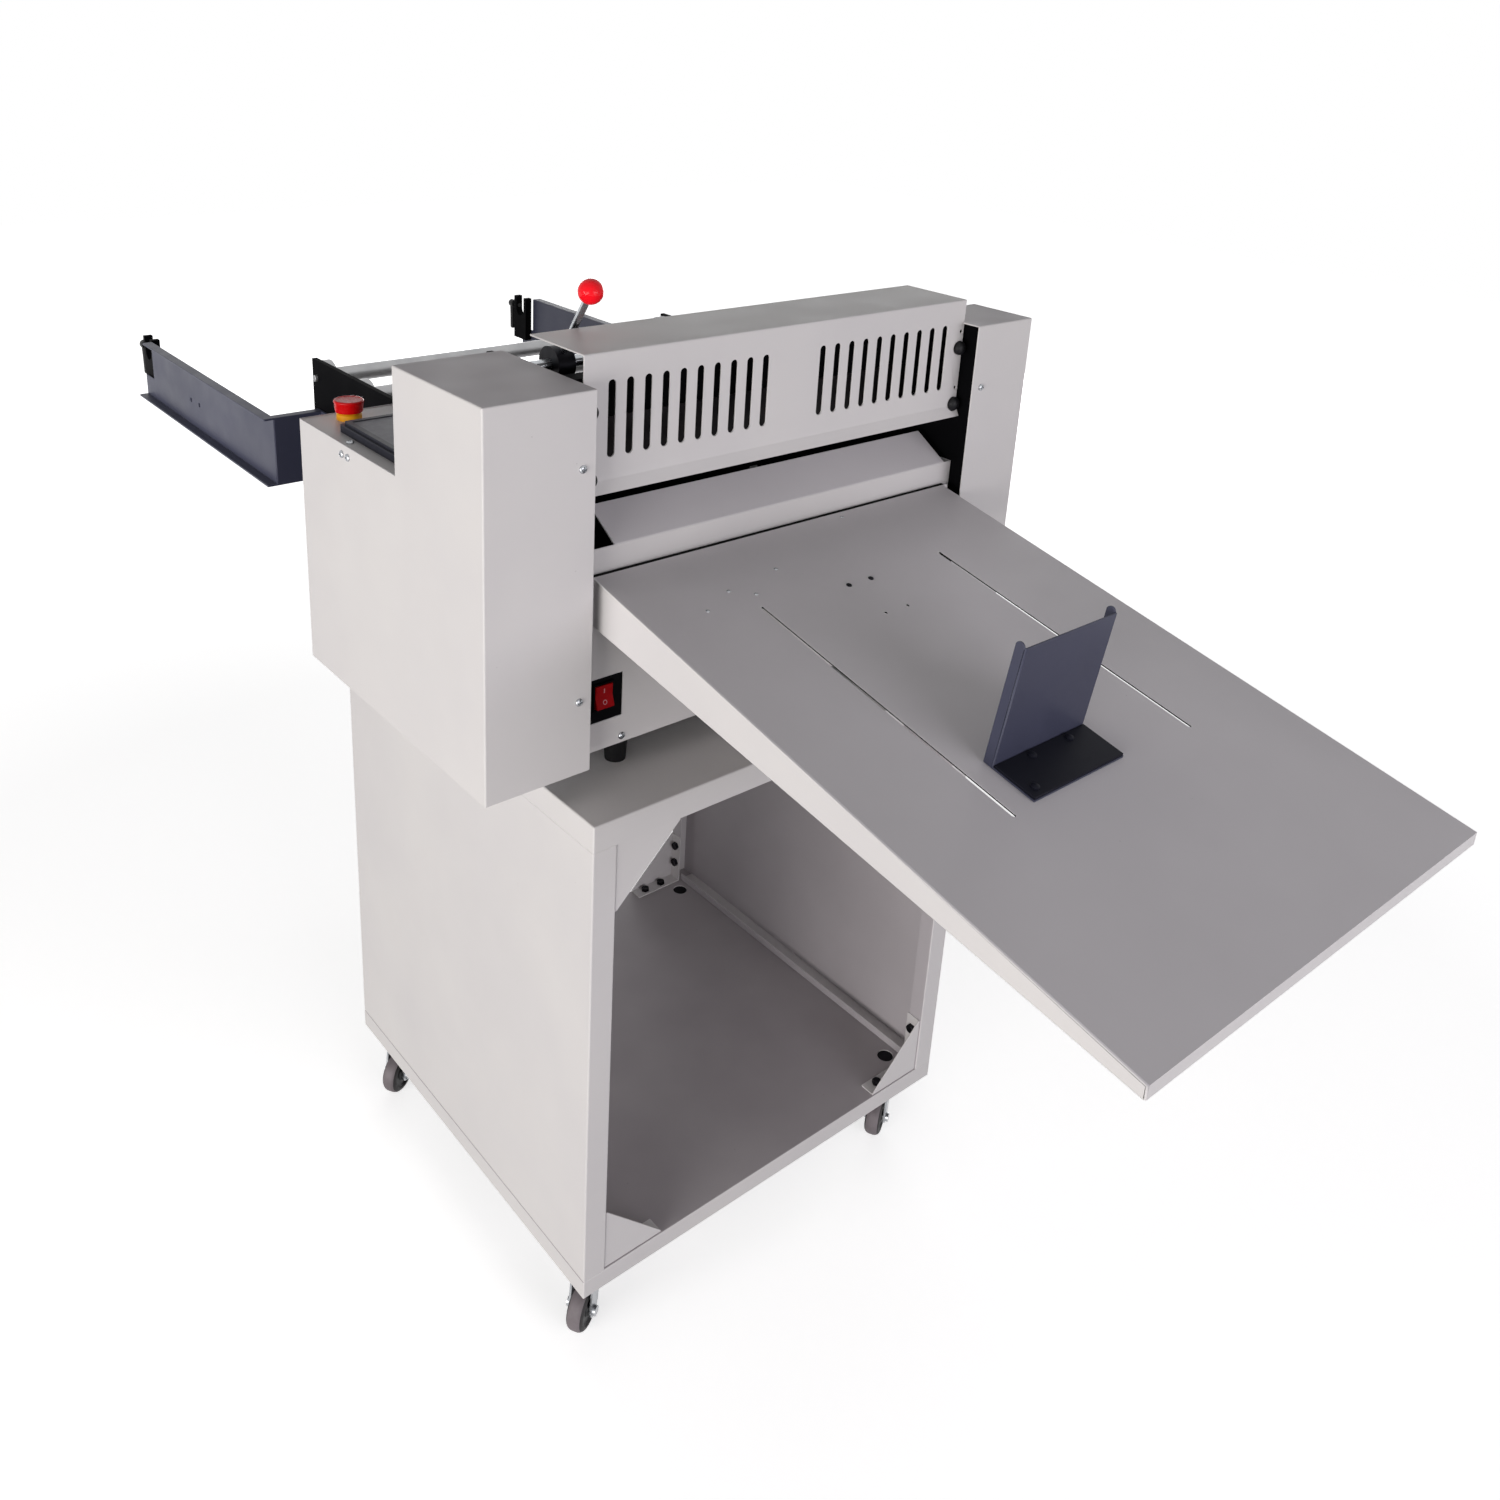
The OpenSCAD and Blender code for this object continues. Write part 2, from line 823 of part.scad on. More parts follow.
module caster_wheel_front_left() { caster_wheel(-1, -1); }
module caster_wheel_front_right() { caster_wheel(1, -1); }
module caster_wheel_rear_left() { caster_wheel(-1, 1); }
module caster_wheel_rear_right() { caster_wheel(1, 1); }

// Base, side plates and panels

module rubber_feet() {
    color(black) for (x = foot_x, y = foot_y) translate([x, y, table_z]) rotate_extrude()
        polygon([
            [0, 0], [foot_d / 2 - foot_taper, 0], [foot_d / 2, foot_h - foot_collar],
            [foot_d / 2, foot_h], [0, foot_h]
        ]);
}

module base_plate() {
    color(zinc) span(
        [left_x + sheet + cover_gap, face_y + sheet + cover_gap, base_z],
        [right_x - sheet - cover_gap, rear_y - sheet - cover_gap, deck_z]
    );
}

// Outline of a side plate: high in front, low at the back, cut away under the overhang
module plate_outline() {
    polygon([
        [plate_front, deck_z], [plate_front, plate_top], [plate_high_y, plate_top],
        [plate_slope_y, plate_rear_z], [plate_rear, plate_rear_z], [plate_rear, plate_heel_z],
        [plate_foot_y, deck_z]
    ]);
}

// A side plate with its bores, the window of the blade beam and the tabs that carry the guard
module side_plate(right) {
    x = right ? plate_r : plate_l - plate_t;
    tab_x = right ? plate_r - tab_w : plate_l - cut;
    stud_x = right ? guard_r - knob_inset : guard_l + knob_inset;
    window_z = tongue_z - knife_stroke - slide_clear;
    window_h = tongue_h + knife_stroke + 2 * slide_clear;
    color(black) {
        difference() {
            along_x(x, plate_t) plate_outline();
            span(
                [x - cut, beam_y - tongue_d / 2 - slide_clear, window_z],
                [x + plate_t + cut, beam_y + tongue_d / 2 + slide_clear, window_z + window_h]
            );
            x_bar(x - cut, x + plate_t + cut, roll_y, drive_z, journal_d + 2 * run_clear);
            x_bar(x - cut, x + plate_t + cut, shaft_y, shaft_z, lever_shaft_d + 2 * run_clear);
            for (y = idler_y) x_bar(x - cut, x + plate_t + cut, y, idler_z, idler_pin_d + 2 * run_clear);
        }
        for (z = knob_rows) difference() {
            span(
                [tab_x, face_y + sheet, z - tab_h / 2],
                [tab_x + tab_w + cut, face_y + sheet + tab_t, z + tab_h / 2]
            );
            y_bar(stud_x, face_y, face_y + sheet + tab_t + cut, z, knob_stud_d + 2 * run_clear);
        }
    }
}

module side_plate_left() { side_plate(false); }
module side_plate_right() { side_plate(true); }

// The front panel: a face with side flanges, and the guide slanting up behind its top edge
module front_panel() {
    y = face_y;
    s = slant_rise / slant_d;
    color(pale) difference() {
        union() {
            span([plate_l, y, base_z], [plate_r, y + sheet, bend_z]);
            for (x = [plate_l, plate_r - sheet])
                span([x, y, deck_z], [x + sheet, y + panel_flange, bend_z]);
            along_x(plate_l + slant_left, frame_gap - slant_left - slant_right) polygon([
                [y, bend_z], [y + slant_d, bend_z + slant_rise],
                [y + slant_d, bend_z + slant_rise - sheet * sqrt(1 + s * s)], [y + sheet, bend_z - sheet]
            ]);
        }
        span([switch_x, y - cut, switch_z], [switch_x + switch_w, y + sheet + cut, switch_z + switch_h]);
        for (sx = [-1, 1]) translate([tray_x + sx * hook_gap / 2, 0, 0]) span(
            [-hook_w / 2 - hook_clear, y - cut, tray_rear_z - hook_drop - hook_clear],
            [hook_w / 2 + hook_clear, y + sheet + cut, tray_rear_z - hook_drop + hook_t + hook_clear]
        );
    }
}

module rear_panel() {
    y = rear_y - sheet - cover_gap;
    color(pale) {
        span([plate_l, y - sheet, deck_z], [plate_r, y, arm_top]);
        for (x = [plate_l, plate_r - sheet]) span([x, y - panel_flange, deck_z], [x + sheet, y, arm_top]);
    }
}

// Housings

// Outline of a housing from the side, high in front of step_y and low behind it
module housing_outline(step_y, inset) {
    polygon([
        [inset - front_y, base_z - inset], [rear_y - inset, base_z - inset],
        [rear_y - inset, low_z - inset], [step_y - inset, low_z - inset],
        [step_y - inset, top_z - inset], [inset - front_y, top_z - inset]
    ]);
}

// A housing of sheet, open below and inwards, whose front and top reach over the edges of the side plate,
// with a slit in the top where the guard's end passes
module housing(x0, x1, step_y, on_left) {
    plate_x = on_left ? plate_l - plate_t - cover_gap : plate_r + plate_t + cover_gap;
    difference() {
        along_x(x0, x1 - x0) housing_outline(step_y, 0);
        along_x(on_left ? x0 + sheet : x0 - cut, x1 - x0 - sheet + cut) housing_outline(step_y, sheet);
        span(
            [on_left ? plate_x : x0 - cut, plate_front - cover_gap, base_z - cut],
            [on_left ? x1 + cut : plate_x, rear_y + cut, plate_top + cover_gap]
        );
        span(
            [guard_l - fit_clear, face_y - fit_clear, top_z - sheet - cut],
            [guard_r + fit_clear, face_y + sheet + fit_clear, top_z + cut]
        );
    }
}

module left_housing() {
    color(pale) difference() {
        housing(left_x, left_in, low_y, true);
        span(
            [left_x + sheet, low_y, low_z - sheet - cut],
            [left_in + cut, rear_y - sheet, low_z + cut]
        );
    }
}

module right_housing() { color(pale) housing(right_in, right_x, right_low_y, false); }

// The plate let into the low part of the left housing
module control_plate() {
    color(grey) difference() {
        span(
            [left_x + sheet, low_y + cover_gap, panel_z - sheet],
            [plate_l - plate_t - cover_gap, rear_y - sheet, panel_z]
        );
        translate([stop_x, stop_y, panel_z - sheet - cut])
            cylinder(d = stop_barrel_d + 2 * fit_clear, h = sheet + 2 * cut);
    }
}

// Pan head screws on the housings, the control plate and the front panel
module panel_screws() {
    color(zinc) {
        for (x = [left_in - screw_edge, right_in + screw_edge], z = screw_rows)
            translate([x, -front_y, z]) rotate([90, 0, 0]) pan_head(screw_d, screw_h);
        for (x = [plate_l + panel_screw_set, plate_r - panel_screw_set])
            translate([x, face_y, base_z + screw_d]) rotate([90, 0, 0]) pan_head(screw_d, screw_h);
        for (right = [false, true], y = side_screw_y) flip([1, 0, 0], right)
            translate([left_x, y, low_z - side_screw_drop]) rotate([0, -90, 0]) pan_head(screw_d, screw_h);
        translate([left_x + control_screw_set, side_screw_y[0], panel_z]) pan_head(screw_d, screw_h);
    }
}

// Controls

module stop_collar() {
    bore = stop_stem_d / 2 + run_clear;
    r = stop_collar_d / 2;
    color("#f2b21c") translate([stop_x, stop_y, panel_z]) rotate_extrude() polygon([
        [bore, -stop_barrel_l], [stop_barrel_d / 2, -stop_barrel_l], [stop_barrel_d / 2, 0], [r, 0],
        [r, stop_collar_h - stop_chamfer], [r - stop_chamfer, stop_collar_h], [bore, stop_collar_h]
    ]);
}

// The mushroom head widens upwards and has a domed top
module stop_button() {
    z = stop_collar_h + stop_travel + slide_clear;
    r = stop_d / 2;
    color("#d21f26") translate([stop_x, stop_y, panel_z]) rotate_extrude() {
        translate([0, stop_travel + cut - stop_barrel_l])
            square([stop_stem_d / 2, z + stop_barrel_l - stop_travel]);
        intersection() {
            polygon([
                [0, z], [stop_neck_d / 2, z], [r, z + stop_h - stop_band], [r, z + stop_h], [0, z + stop_h]
            ]);
            translate([0, z + stop_h - stop_dome_r]) circle(stop_dome_r, $fn = 128);
        }
    }
}

// A stepped rim with a recess for the glass
module display_bezel() {
    color(slate) translate([display_x, display_y, panel_z]) difference() {
        union() {
            linear_extrude(display_h - rim_step) round_rect(display_w, display_l, rim_r);
            translate([rim_step, rim_step, 0]) linear_extrude(display_h)
                round_rect(display_w - 2 * rim_step, display_l - 2 * rim_step, rim_r);
        }
        translate([rim_w, rim_w, display_h - glass_t - glass_set])
            cube([display_w - 2 * rim_w, display_l - 2 * rim_w, glass_t + glass_set + cut]);
    }
}

module display_glass() {
    w = rim_w + fit_clear;
    color("#2f3440") translate([display_x + w, display_y + w, panel_z + display_h - glass_t - glass_set])
        cube([display_w - 2 * w, display_l - 2 * w, glass_t]);
}

// A plate behind the front panel, with the switch's box on its back and the bearings of the rocker's pivot
module switch_plate() {
    w = rocker_w + 2 * slide_clear;
    h = rocker_h + 2 * rocker_room;
    y = face_y + sheet;
    color(black) difference() {
        union() {
            span(
                [switch_x - switch_rim, y, switch_z - switch_rim],
                [switch_x + switch_w + switch_rim, y + switch_plate_t, switch_z + switch_h + switch_rim]
            );
            translate([rocker_x, y, rocker_z]) span(
                [-w / 2 - switch_wall, -sheet - switch_proud, -h / 2 - switch_wall],
                [w / 2 + switch_wall, switch_box_d, h / 2 + switch_wall]
            );
        }
        translate([rocker_x, y, rocker_z]) span(
            [-w / 2, -sheet - switch_proud - cut, -h / 2], [w / 2, switch_box_d - switch_wall, h / 2]
        );
        reach = w / 2 + rocker_pin_out;
        x_bar(rocker_x - reach, rocker_x + reach, rocker_pivot_y, rocker_z, rocker_pin_d + 2 * run_clear);
    }
}

// A rocker with a hollowed face on a round pivot, resting tilted on its lower half
module rocker() {
    h = rocker_h / 2;
    color("#cf2027") translate([0, rocker_pivot_y, rocker_z]) rotate([-rocker_tilt, 0, 0]) {
        along_x(rocker_x - rocker_w / 2, rocker_w) polygon([
            [-rocker_front, h], [rocker_hollow - rocker_front, 0], [-rocker_front, -h], [0, -h],
            [rocker_back, -h / 2], [rocker_back, h / 2], [0, h]
        ]);
        reach = rocker_w / 2 + rocker_pin_out;
        x_bar(rocker_x - reach, rocker_x + reach, 0, 0, rocker_pin_d);
    }
}

// Guard

module slot_outline(w, h) {
    translate([-w / 2, w / 2]) square([w, h - w]);
    for (y = [w / 2, h - w / 2]) translate([0, y]) circle(d = w);
}

// A folded sheet: a slotted face, a top, and a lip flared out along the lower edge
module guard() {
    t = sheet;
    tip = [face_y - lip_len * sin(lip_angle), guard_bend - lip_len * cos(lip_angle)];
    color(pale) difference() {
        along_x(guard_l, guard_w) polygon([
            [face_y, guard_bend], tip, tip + [t * cos(lip_angle), -t * sin(lip_angle)],
            [face_y + t, guard_bend - t * tan(lip_angle / 2)], [face_y + t, guard_top - t],
            [face_y + guard_d, guard_top - t], [face_y + guard_d, guard_top], [face_y, guard_top]
        ]);
        for (side = [-1, 1], i = [0 : slot_count - 1])
            translate([frame_x + side * (slot_first + i * slot_pitch), face_y + t + cut, slot_z])
                rotate([90, 0, 0]) linear_extrude(t + 2 * cut) slot_outline(slot_w, slot_h);
        for (right = [false, true], z = knob_rows)
            translate([frame_x, 0, 0]) flip([1, 0, 0], right)
            translate([-guard_w / 2, face_y + t + cut, z]) {
                rotate([90, 0, 0]) linear_extrude(t + 2 * cut) {
                    translate([-cut, -knob_stud_d / 2 - fit_clear])
                        square([knob_inset + cut, knob_stud_d + 2 * fit_clear]);
                    translate([knob_inset, 0]) circle(d = knob_stud_d + 2 * fit_clear);
                }
                translate([pilot_d, 0, pilot_up]) rotate([90, 0, 0]) cylinder(d = pilot_d, h = t + 2 * cut);
                translate([knob_inset, -t - cut, 0]) rotate([90, 0, 0])
                    cylinder(d = knob_d + 2 * lip_relief, h = lip_len);
            }
    }
}

module guard_knobs() {
    color(black) for (x = [guard_l + knob_inset, guard_r - knob_inset], z = knob_rows) {
        translate([x, face_y, z]) rotate([90, 0, 0]) pan_head(knob_d, knob_h);
        y_bar(x, face_y - cut, face_y + sheet + tab_t + knob_stud_out, z, knob_stud_d);
    }
}

// Cutter

// The bar across the frame that carries the lower blade
module knife_bed() {
    y = shear_y + blade_gap + lower_blade_t;
    color(black) span([plate_l, y, bed_top - bed_h], [plate_r, y + bed_d, bed_top]);
}

module lower_blade() {
    y = shear_y + blade_gap;
    color(steel) span(
        [frame_x - blade_len / 2, y, lower_edge_z - lower_blade_h],
        [frame_x + blade_len / 2, y + lower_blade_t, lower_edge_z]
    );
}

// A blade whose edge rises to the right, so that it cuts like scissors
module upper_blade() {
    color(steel) translate([frame_x, shear_y, 0]) rotate([90, 0, 0]) linear_extrude(upper_blade_t) polygon([
        [-blade_len / 2, upper_edge_z], [blade_len / 2, upper_edge_z + blade_slant],
        [blade_len / 2, upper_edge_z + upper_blade_h], [-blade_len / 2, upper_edge_z + upper_blade_h]
    ]);
}

// The beam runs in the windows of the side plates and ends on the left in the crank's yoke
module blade_beam() {
    pin_z = crank_z + crank_r;
    slot_len = 2 * crank_r + crank_pin_d + 4 * slide_clear;
    slot_high = crank_pin_d + 2 * yoke_slack;
    color(black) {
        span(
            [plate_l + slide_clear, shear_y, beam_z],
            [plate_r - slide_clear, shear_y + beam_d, beam_z + beam_h]
        );
        span(
            [yoke_x + yoke_t - yoke_bite, beam_y - tongue_d / 2, tongue_z],
            [plate_r + plate_t, beam_y + tongue_d / 2, tongue_z + tongue_h]
        );
        difference() {
            span(
                [yoke_x, crank_y - yoke_w / 2, pin_z - yoke_h / 2],
                [yoke_x + yoke_t, beam_y + tongue_d / 2, pin_z + yoke_h / 2]
            );
            span(
                [yoke_x - cut, crank_y - slot_len / 2, pin_z - slot_high / 2],
                [yoke_x + yoke_t - 2 * yoke_bite, crank_y + slot_len / 2, pin_z + slot_high / 2]
            );
        }
    }
}

// A disc on the motor's shaft, with the pin that drives the yoke
module crank() {
    color(zinc) {
        x_bar(disc_x, disc_x + disc_t, crank_y, crank_z, crank_d);
        x_bar(disc_x, yoke_x + yoke_t - 4 * yoke_bite, crank_y, crank_z + crank_r, crank_pin_d);
        x_bar(motor_flange_x - shaft_in, disc_x + cut, crank_y, crank_z, motor_shaft_d);
    }
}

// A geared motor whose flange stands on four posts
module cutter_motor() {
    x = motor_flange_x;
    color("#5c6066") difference() {
        union() {
            translate([x, crank_y, crank_z]) span(
                [0, -post_y - post_d, -post_z - post_d],
                [motor_flange_t, post_y + post_d, post_z + post_d]
            );
            for (sy = [-1, 1], sz = [-1, 1])
                x_bar(x, plate_l - plate_t, crank_y + sy * post_y, crank_z + sz * post_z, post_d);
            x_bar(x - motor_len, x + cut, crank_y, crank_z, motor_d);
        }
        x_bar(
            x - shaft_in - shaft_end, x + motor_flange_t + cut, crank_y, crank_z,
            motor_shaft_d + 2 * run_clear
        );
    }
}

// Feed

// A toothless belt pulley with two flanges
module pulley(x, y, z, d) {
    x_bar(x, x + pulley_w, y, z, d);
    for (at = [x, x + pulley_w - pulley_flange]) x_bar(at, at + pulley_flange, y, z, d + 3 * belt_t);
}

module drive_roller() {
    color(dark_rubber) {
        x_bar(frame_x - roller_len / 2, frame_x + roller_len / 2, roll_y, drive_z, roller_d);
        x_bar(plate_l - plate_t - shaft_out, pulley_x + pulley_w + shaft_out, roll_y, drive_z, journal_d);
        pulley(pulley_x, roll_y, drive_z, roller_pulley_d);
    }
}

module pressure_roller() {
    color(dark_rubber) {
        x_bar(frame_x - roller_len / 2, frame_x + roller_len / 2, roll_y, press_z, roller_d);
        x_bar(plate_l + journal_end, plate_r - journal_end, roll_y, press_z, journal_d);
    }
}

// Two straps that hang the pressure roller on the eccentrics of the lever shaft
module pressure_straps() {
    foot_z = press_z - strap_foot;
    color(zinc) for (x = [plate_l + slide_clear, plate_r - slide_clear - strap_t]) difference() {
        span(
            [x, shaft_y - strap_w / 2, foot_z],
            [x + strap_t, shaft_y + strap_w / 2, strap_window_top + strap_bar]
        );
        span(
            [x - cut, shaft_y - strap_window_w / 2, strap_window_bottom],
            [x + strap_t + cut, shaft_y + strap_window_w / 2, strap_window_top]
        );
        x_bar(x - cut, x + strap_t + cut, roll_y, press_z, journal_d + 2 * run_clear);
    }
}

// Places its child on the lever, with Z along the rod
module on_lever() {
    translate([plate_l + lever_x, shaft_y, shaft_z]) rotate([lever_lean, 0, 0]) children();
}

// The shaft with its two eccentrics and the rod that runs through the hub
module lever_shaft() {
    color(steel) {
        x_bar(plate_l - plate_t - shaft_out, plate_r + plate_t + shaft_out, shaft_y, shaft_z, lever_shaft_d);
        for (x = [plate_l + slide_clear + cam_set, plate_r - slide_clear - cam_set - cam_t]) x_bar(
            x, x + cam_t, shaft_y - cam_e * sin(cam_rest), shaft_z + cam_e * cos(cam_rest), cam_d
        );
        on_lever() cylinder(d = rod_d, h = lever_len - ball_d / 2 + ball_bore);
    }
}

module lever_hub() {
    color(black) on_lever() difference() {
        x_bar(-hub_w / 2, hub_w / 2, 0, 0, hub_d);
        x_bar(-hub_w / 2 - cut, hub_w / 2 + cut, 0, 0, lever_shaft_d + 2 * run_clear);
        cylinder(d = rod_d + 2 * run_clear, h = hub_d);
    }
}

module lever_ball() {
    color("#d8101c") on_lever() translate([0, 0, lever_len]) difference() {
        sphere(d = ball_d);
        translate([0, 0, -ball_d / 2 - cut])
            cylinder(d = rod_d + 2 * run_clear, h = ball_bore + cut + slide_clear);
    }
}

// An idler: a tube with collars, on pins that run through the side plates
module idler(y) {
    color(grey) {
        x_bar(plate_l + slide_clear, plate_r - slide_clear, y, idler_z, idler_d);
        for (x = [plate_l + slide_clear, plate_r - slide_clear - collar_w])
            x_bar(x, x + collar_w, y, idler_z, collar_d);
        pin_out = plate_t + idler_pin_out;
        x_bar(plate_l - pin_out, plate_r + pin_out, y, idler_z, idler_pin_d);
    }
}

module idler_rear() { idler(idler_y[0]); }
module idler_front() { idler(idler_y[1]); }

// Feed drive

module feed_motor() {
    x = feed_motor_x;
    w = feed_motor_w / 2;
    color("#3a3c40") difference() {
        union() {
            translate([x, roll_y, feed_motor_z]) span([0, -w, -w], [motor_flange_t + feed_motor_len, w, w]);
            for (sy = [-1, 1], sz = [-1, 1]) translate([0, sy * (w - post_d), sz * (w - post_d)])
                x_bar(plate_r + plate_t, x + cut, roll_y, feed_motor_z, post_d);
        }
        x_bar(x - cut, x + shaft_in + shaft_end, roll_y, feed_motor_z, feed_shaft_d + 2 * run_clear);
    }
}

module motor_pulley() {
    color(zinc) {
        pulley(pulley_x, roll_y, feed_motor_z, motor_pulley_d);
        x_bar(pulley_x, feed_motor_x + shaft_in, roll_y, feed_motor_z, feed_shaft_d);
    }
}

// Outline of the belt round both pulleys, let out by the given distance
module belt_outline(out) {
    hull() {
        translate([roll_y, drive_z]) circle(d = roller_pulley_d + 2 * out);
        translate([roll_y, feed_motor_z]) circle(d = motor_pulley_d + 2 * out);
    }
}

module drive_belt() {
    side = pulley_flange + slide_clear;
    color(black) along_x(pulley_x + side, pulley_w - 2 * side) difference() {
        belt_outline(slide_clear + belt_t);
        belt_outline(slide_clear);
    }
}

// A power supply, and a board on standoffs
module control_unit() {
    color("#6f757b") translate([supply_x, -supply_size[1] / 2, deck_z]) cube(supply_size);
    color("#2f5a45") translate([board_x, -board_size[1] / 2, deck_z]) {
        translate([0, 0, board_up]) cube(board_size);
        x_far = board_size[0] - standoff_set;
        y_far = board_size[1] - standoff_set;
        for (x = [standoff_set, x_far], y = [standoff_set, y_far])
            translate([x, y, 0]) cylinder(d = standoff_d, h = board_up + cut);
        for (b = board_blocks) translate([b[0], b[1], board_up + cut]) cube([b[2], b[3], b[4]]);
    }
}

// Tray and backstop

// A sloping sheet with deep sides, hung on the front panel by two hooks
module tray() {
    t = sheet;
    x0 = tray_x - tray_w / 2;
    drop = t / cos(tray_slope);
    hook_z = tray_rear_z - hook_drop;
    color(pale) difference() {
        union() {
            along_x(x0, tray_w) polygon([
                [tray_rear_y, tray_rear_z], [tray_front_y, tray_front_z],
                [tray_front_y, tray_front_z - drop], [tray_rear_y, tray_rear_z - drop]
            ]);
            for (x = [x0, x0 + tray_w - t]) along_x(x, t) polygon([
                [tray_rear_y, tray_rear_z], [tray_front_y, tray_front_z],
                [tray_front_y, tray_front_z - tray_side_front], [tray_rear_y, tray_rear_z - tray_side_rear]
            ]);
            along_x(x0, tray_w) polygon([
                [tray_front_y, tray_front_z], [tray_front_y + t, tray_front_z],
                [tray_front_y + t, tray_front_z - tray_side_front],
                [tray_front_y, tray_front_z - tray_side_front]
            ]);
            span(
                [x0 - tray_ear, tray_rear_y, tray_rear_z - tray_side_rear],
                [x0 + tray_w + tray_ear, tray_rear_y + t, tray_rear_z]
            );
            for (sx = [-1, 1]) translate([tray_x + sx * hook_gap / 2, 0, hook_z]) {
                behind = face_y + sheet + hook_clear;
                span([-hook_w / 2, tray_rear_y, 0], [hook_w / 2, behind + hook_t, hook_t]);
                span([-hook_w / 2, behind, -hook_w / 2], [hook_w / 2, behind + hook_t, hook_t]);
            }
        }
        for (sx = [-1, 1]) on_tray(tray_x + sx * tray_slot_gap / 2, tray_slot_start + tray_slot_l)
            translate([0, 0, -2 * t]) linear_extrude(4 * t) slot_outline(tray_slot_w, tray_slot_l);
        for (sx = [-1, 1], s = [0, hole_pitch]) on_tray(tray_x + sx * hole_gap / 2, hole_start + s)
            translate([0, 0, -2 * t]) cylinder(d = hole_d, h = 4 * t);
    }
}

// Places its child on the tray's slope at the backstop, its back edge along X
module on_backstop() {
    on_tray(backstop_x, backstop_s) children();
}

// Keeps what stands above the backstop's lower face
module above_foot() {
    intersection() {
        children();
        translate([-backstop_base_d, 0]) square([2 * backstop_base_d, 2 * backstop_h]);
    }
}

// An upright sheet with two flanges folded back, and a foot that lies on the tray
module backstop() {
    t = backstop_sheet;
    w = backstop_w / 2;
    lean = backstop_lean - tray_slope;
    ear_r = (backstop_flange - t) / 2;
    color(slate) on_backstop() translate([0, 0, slide_clear]) {
        along_x(-w, backstop_w) above_foot() {
            translate([-backstop_base_d, 0]) square([backstop_base_d + t / 2, t]);
            rotate(lean) square([t, backstop_h]);
        }
        for (x = [-w, w - t]) along_x(x, t) above_foot() rotate(lean) {
            translate([t / 2, 0]) square([backstop_flange - t / 2, backstop_h]);
            translate([t, 0]) square([2 * ear_r, backstop_h + backstop_ear - ear_r]);
            translate([t + ear_r, backstop_h + backstop_ear - ear_r]) circle(ear_r);
        }
    }
}

// A black plate on the foot, with three screws
module backstop_base() {
    w = backstop_w / 2 - backstop_edge;
    z = slide_clear + backstop_sheet;
    color(black) on_backstop() translate([0, 0, z]) {
        span([-w, -backstop_base_d + backstop_edge, 0], [w, -fit_clear, backstop_base_t]);
        for (p = backstop_screws) translate([p[0], -p[1], backstop_base_t]) pan_head(screw_d, screw_h);
    }
}

// Roll arms

// A channel with flanges turned outwards, returned at its near end to a tab on the side plate
module arm(right) {
    x = right ? arm_right_x : arm_left_x;
    plate_x = right ? plate_r + plate_t : plate_t - plate_l;
    t = arm_sheet;
    z = arm_top - arm_h;
    color(slate) flip([1, 0, 0], !right) difference() {
        union() {
            span([x - t, arm_near, z], [x, arm_far, arm_top]);
            for (at = [z, arm_top - t]) span([x - t, arm_near, at], [x + arm_flange, arm_far, at + t]);
            span([plate_x, arm_near, z], [x, arm_near + t, arm_top]);
            span([plate_x, arm_near, arm_top - t], [x, arm_near + arm_flange, arm_top]);
            span([plate_x, arm_near - arm_tab, z], [plate_x + t, arm_near + t, arm_top]);
        }
        span(
            [x - t - cut, clamp_y - clamp_l / 2 - arm_end_gap, clamp_top - clamp_h + clamp_overlap],
            [x + arm_flange + cut, arm_far + cut, arm_top + cut]
        );
        for (s = arm_holes) x_bar(x - t - cut, x + cut, arm_far - s, arm_hole_z, arm_hole_d);
    }
}

module arm_left() { arm(false); }
module arm_right() { arm(true); }

// Inner faces of the arms, each with the side on which its clamp block lies
module at_clamps(right) {
    x = right ? arm_right_x : arm_left_x;
    flip([1, 0, 0], !right) translate([x - arm_sheet - clamp_t, clamp_y, 0]) children();
}

// A block with a notch open at the top, bored at the back for the clamp lever's stud
module clamp_blocks() {
    color(black) for (right = [false, true]) at_clamps(right) difference() {
        span([0, -clamp_l / 2, clamp_top - clamp_h], [clamp_t, clamp_l / 2, clamp_top]);
        span([-cut, -notch_w / 2, notch_z], [clamp_t + cut, notch_w / 2, clamp_top + cut]);
        x_bar(-cut, clamp_t + cut, 0, notch_z, notch_w);
        y_bar(clamp_t / 2, 0, clamp_l / 2 + cut, clamp_screw_z, clamp_stud_d + 2 * run_clear);
    }
}

// A stud with a head and a tapered handle that hangs down
module clamp_lever(right) {
    head_y = clamp_l / 2 + clamp_stud_out;
    color(black) at_clamps(right) translate([clamp_t / 2, 0, clamp_screw_z]) {
        y_bar(0, notch_w / 2 + slide_clear, head_y + cut, 0, clamp_stud_d);
        y_bar(0, head_y, head_y + clamp_head_l, 0, clamp_head_d);
        translate([0, head_y + clamp_head_l / 2, 0]) rotate([180, 0, 0]) {
            cylinder(d1 = clamp_handle_d, d2 = clamp_tip_d, h = clamp_lever_l - clamp_tip_d / 2);
            translate([0, 0, clamp_lever_l - clamp_tip_d / 2]) sphere(d = clamp_tip_d);
        }
    }
}

module clamp_lever_left() { clamp_lever(false); }
module clamp_lever_right() { clamp_lever(true); }

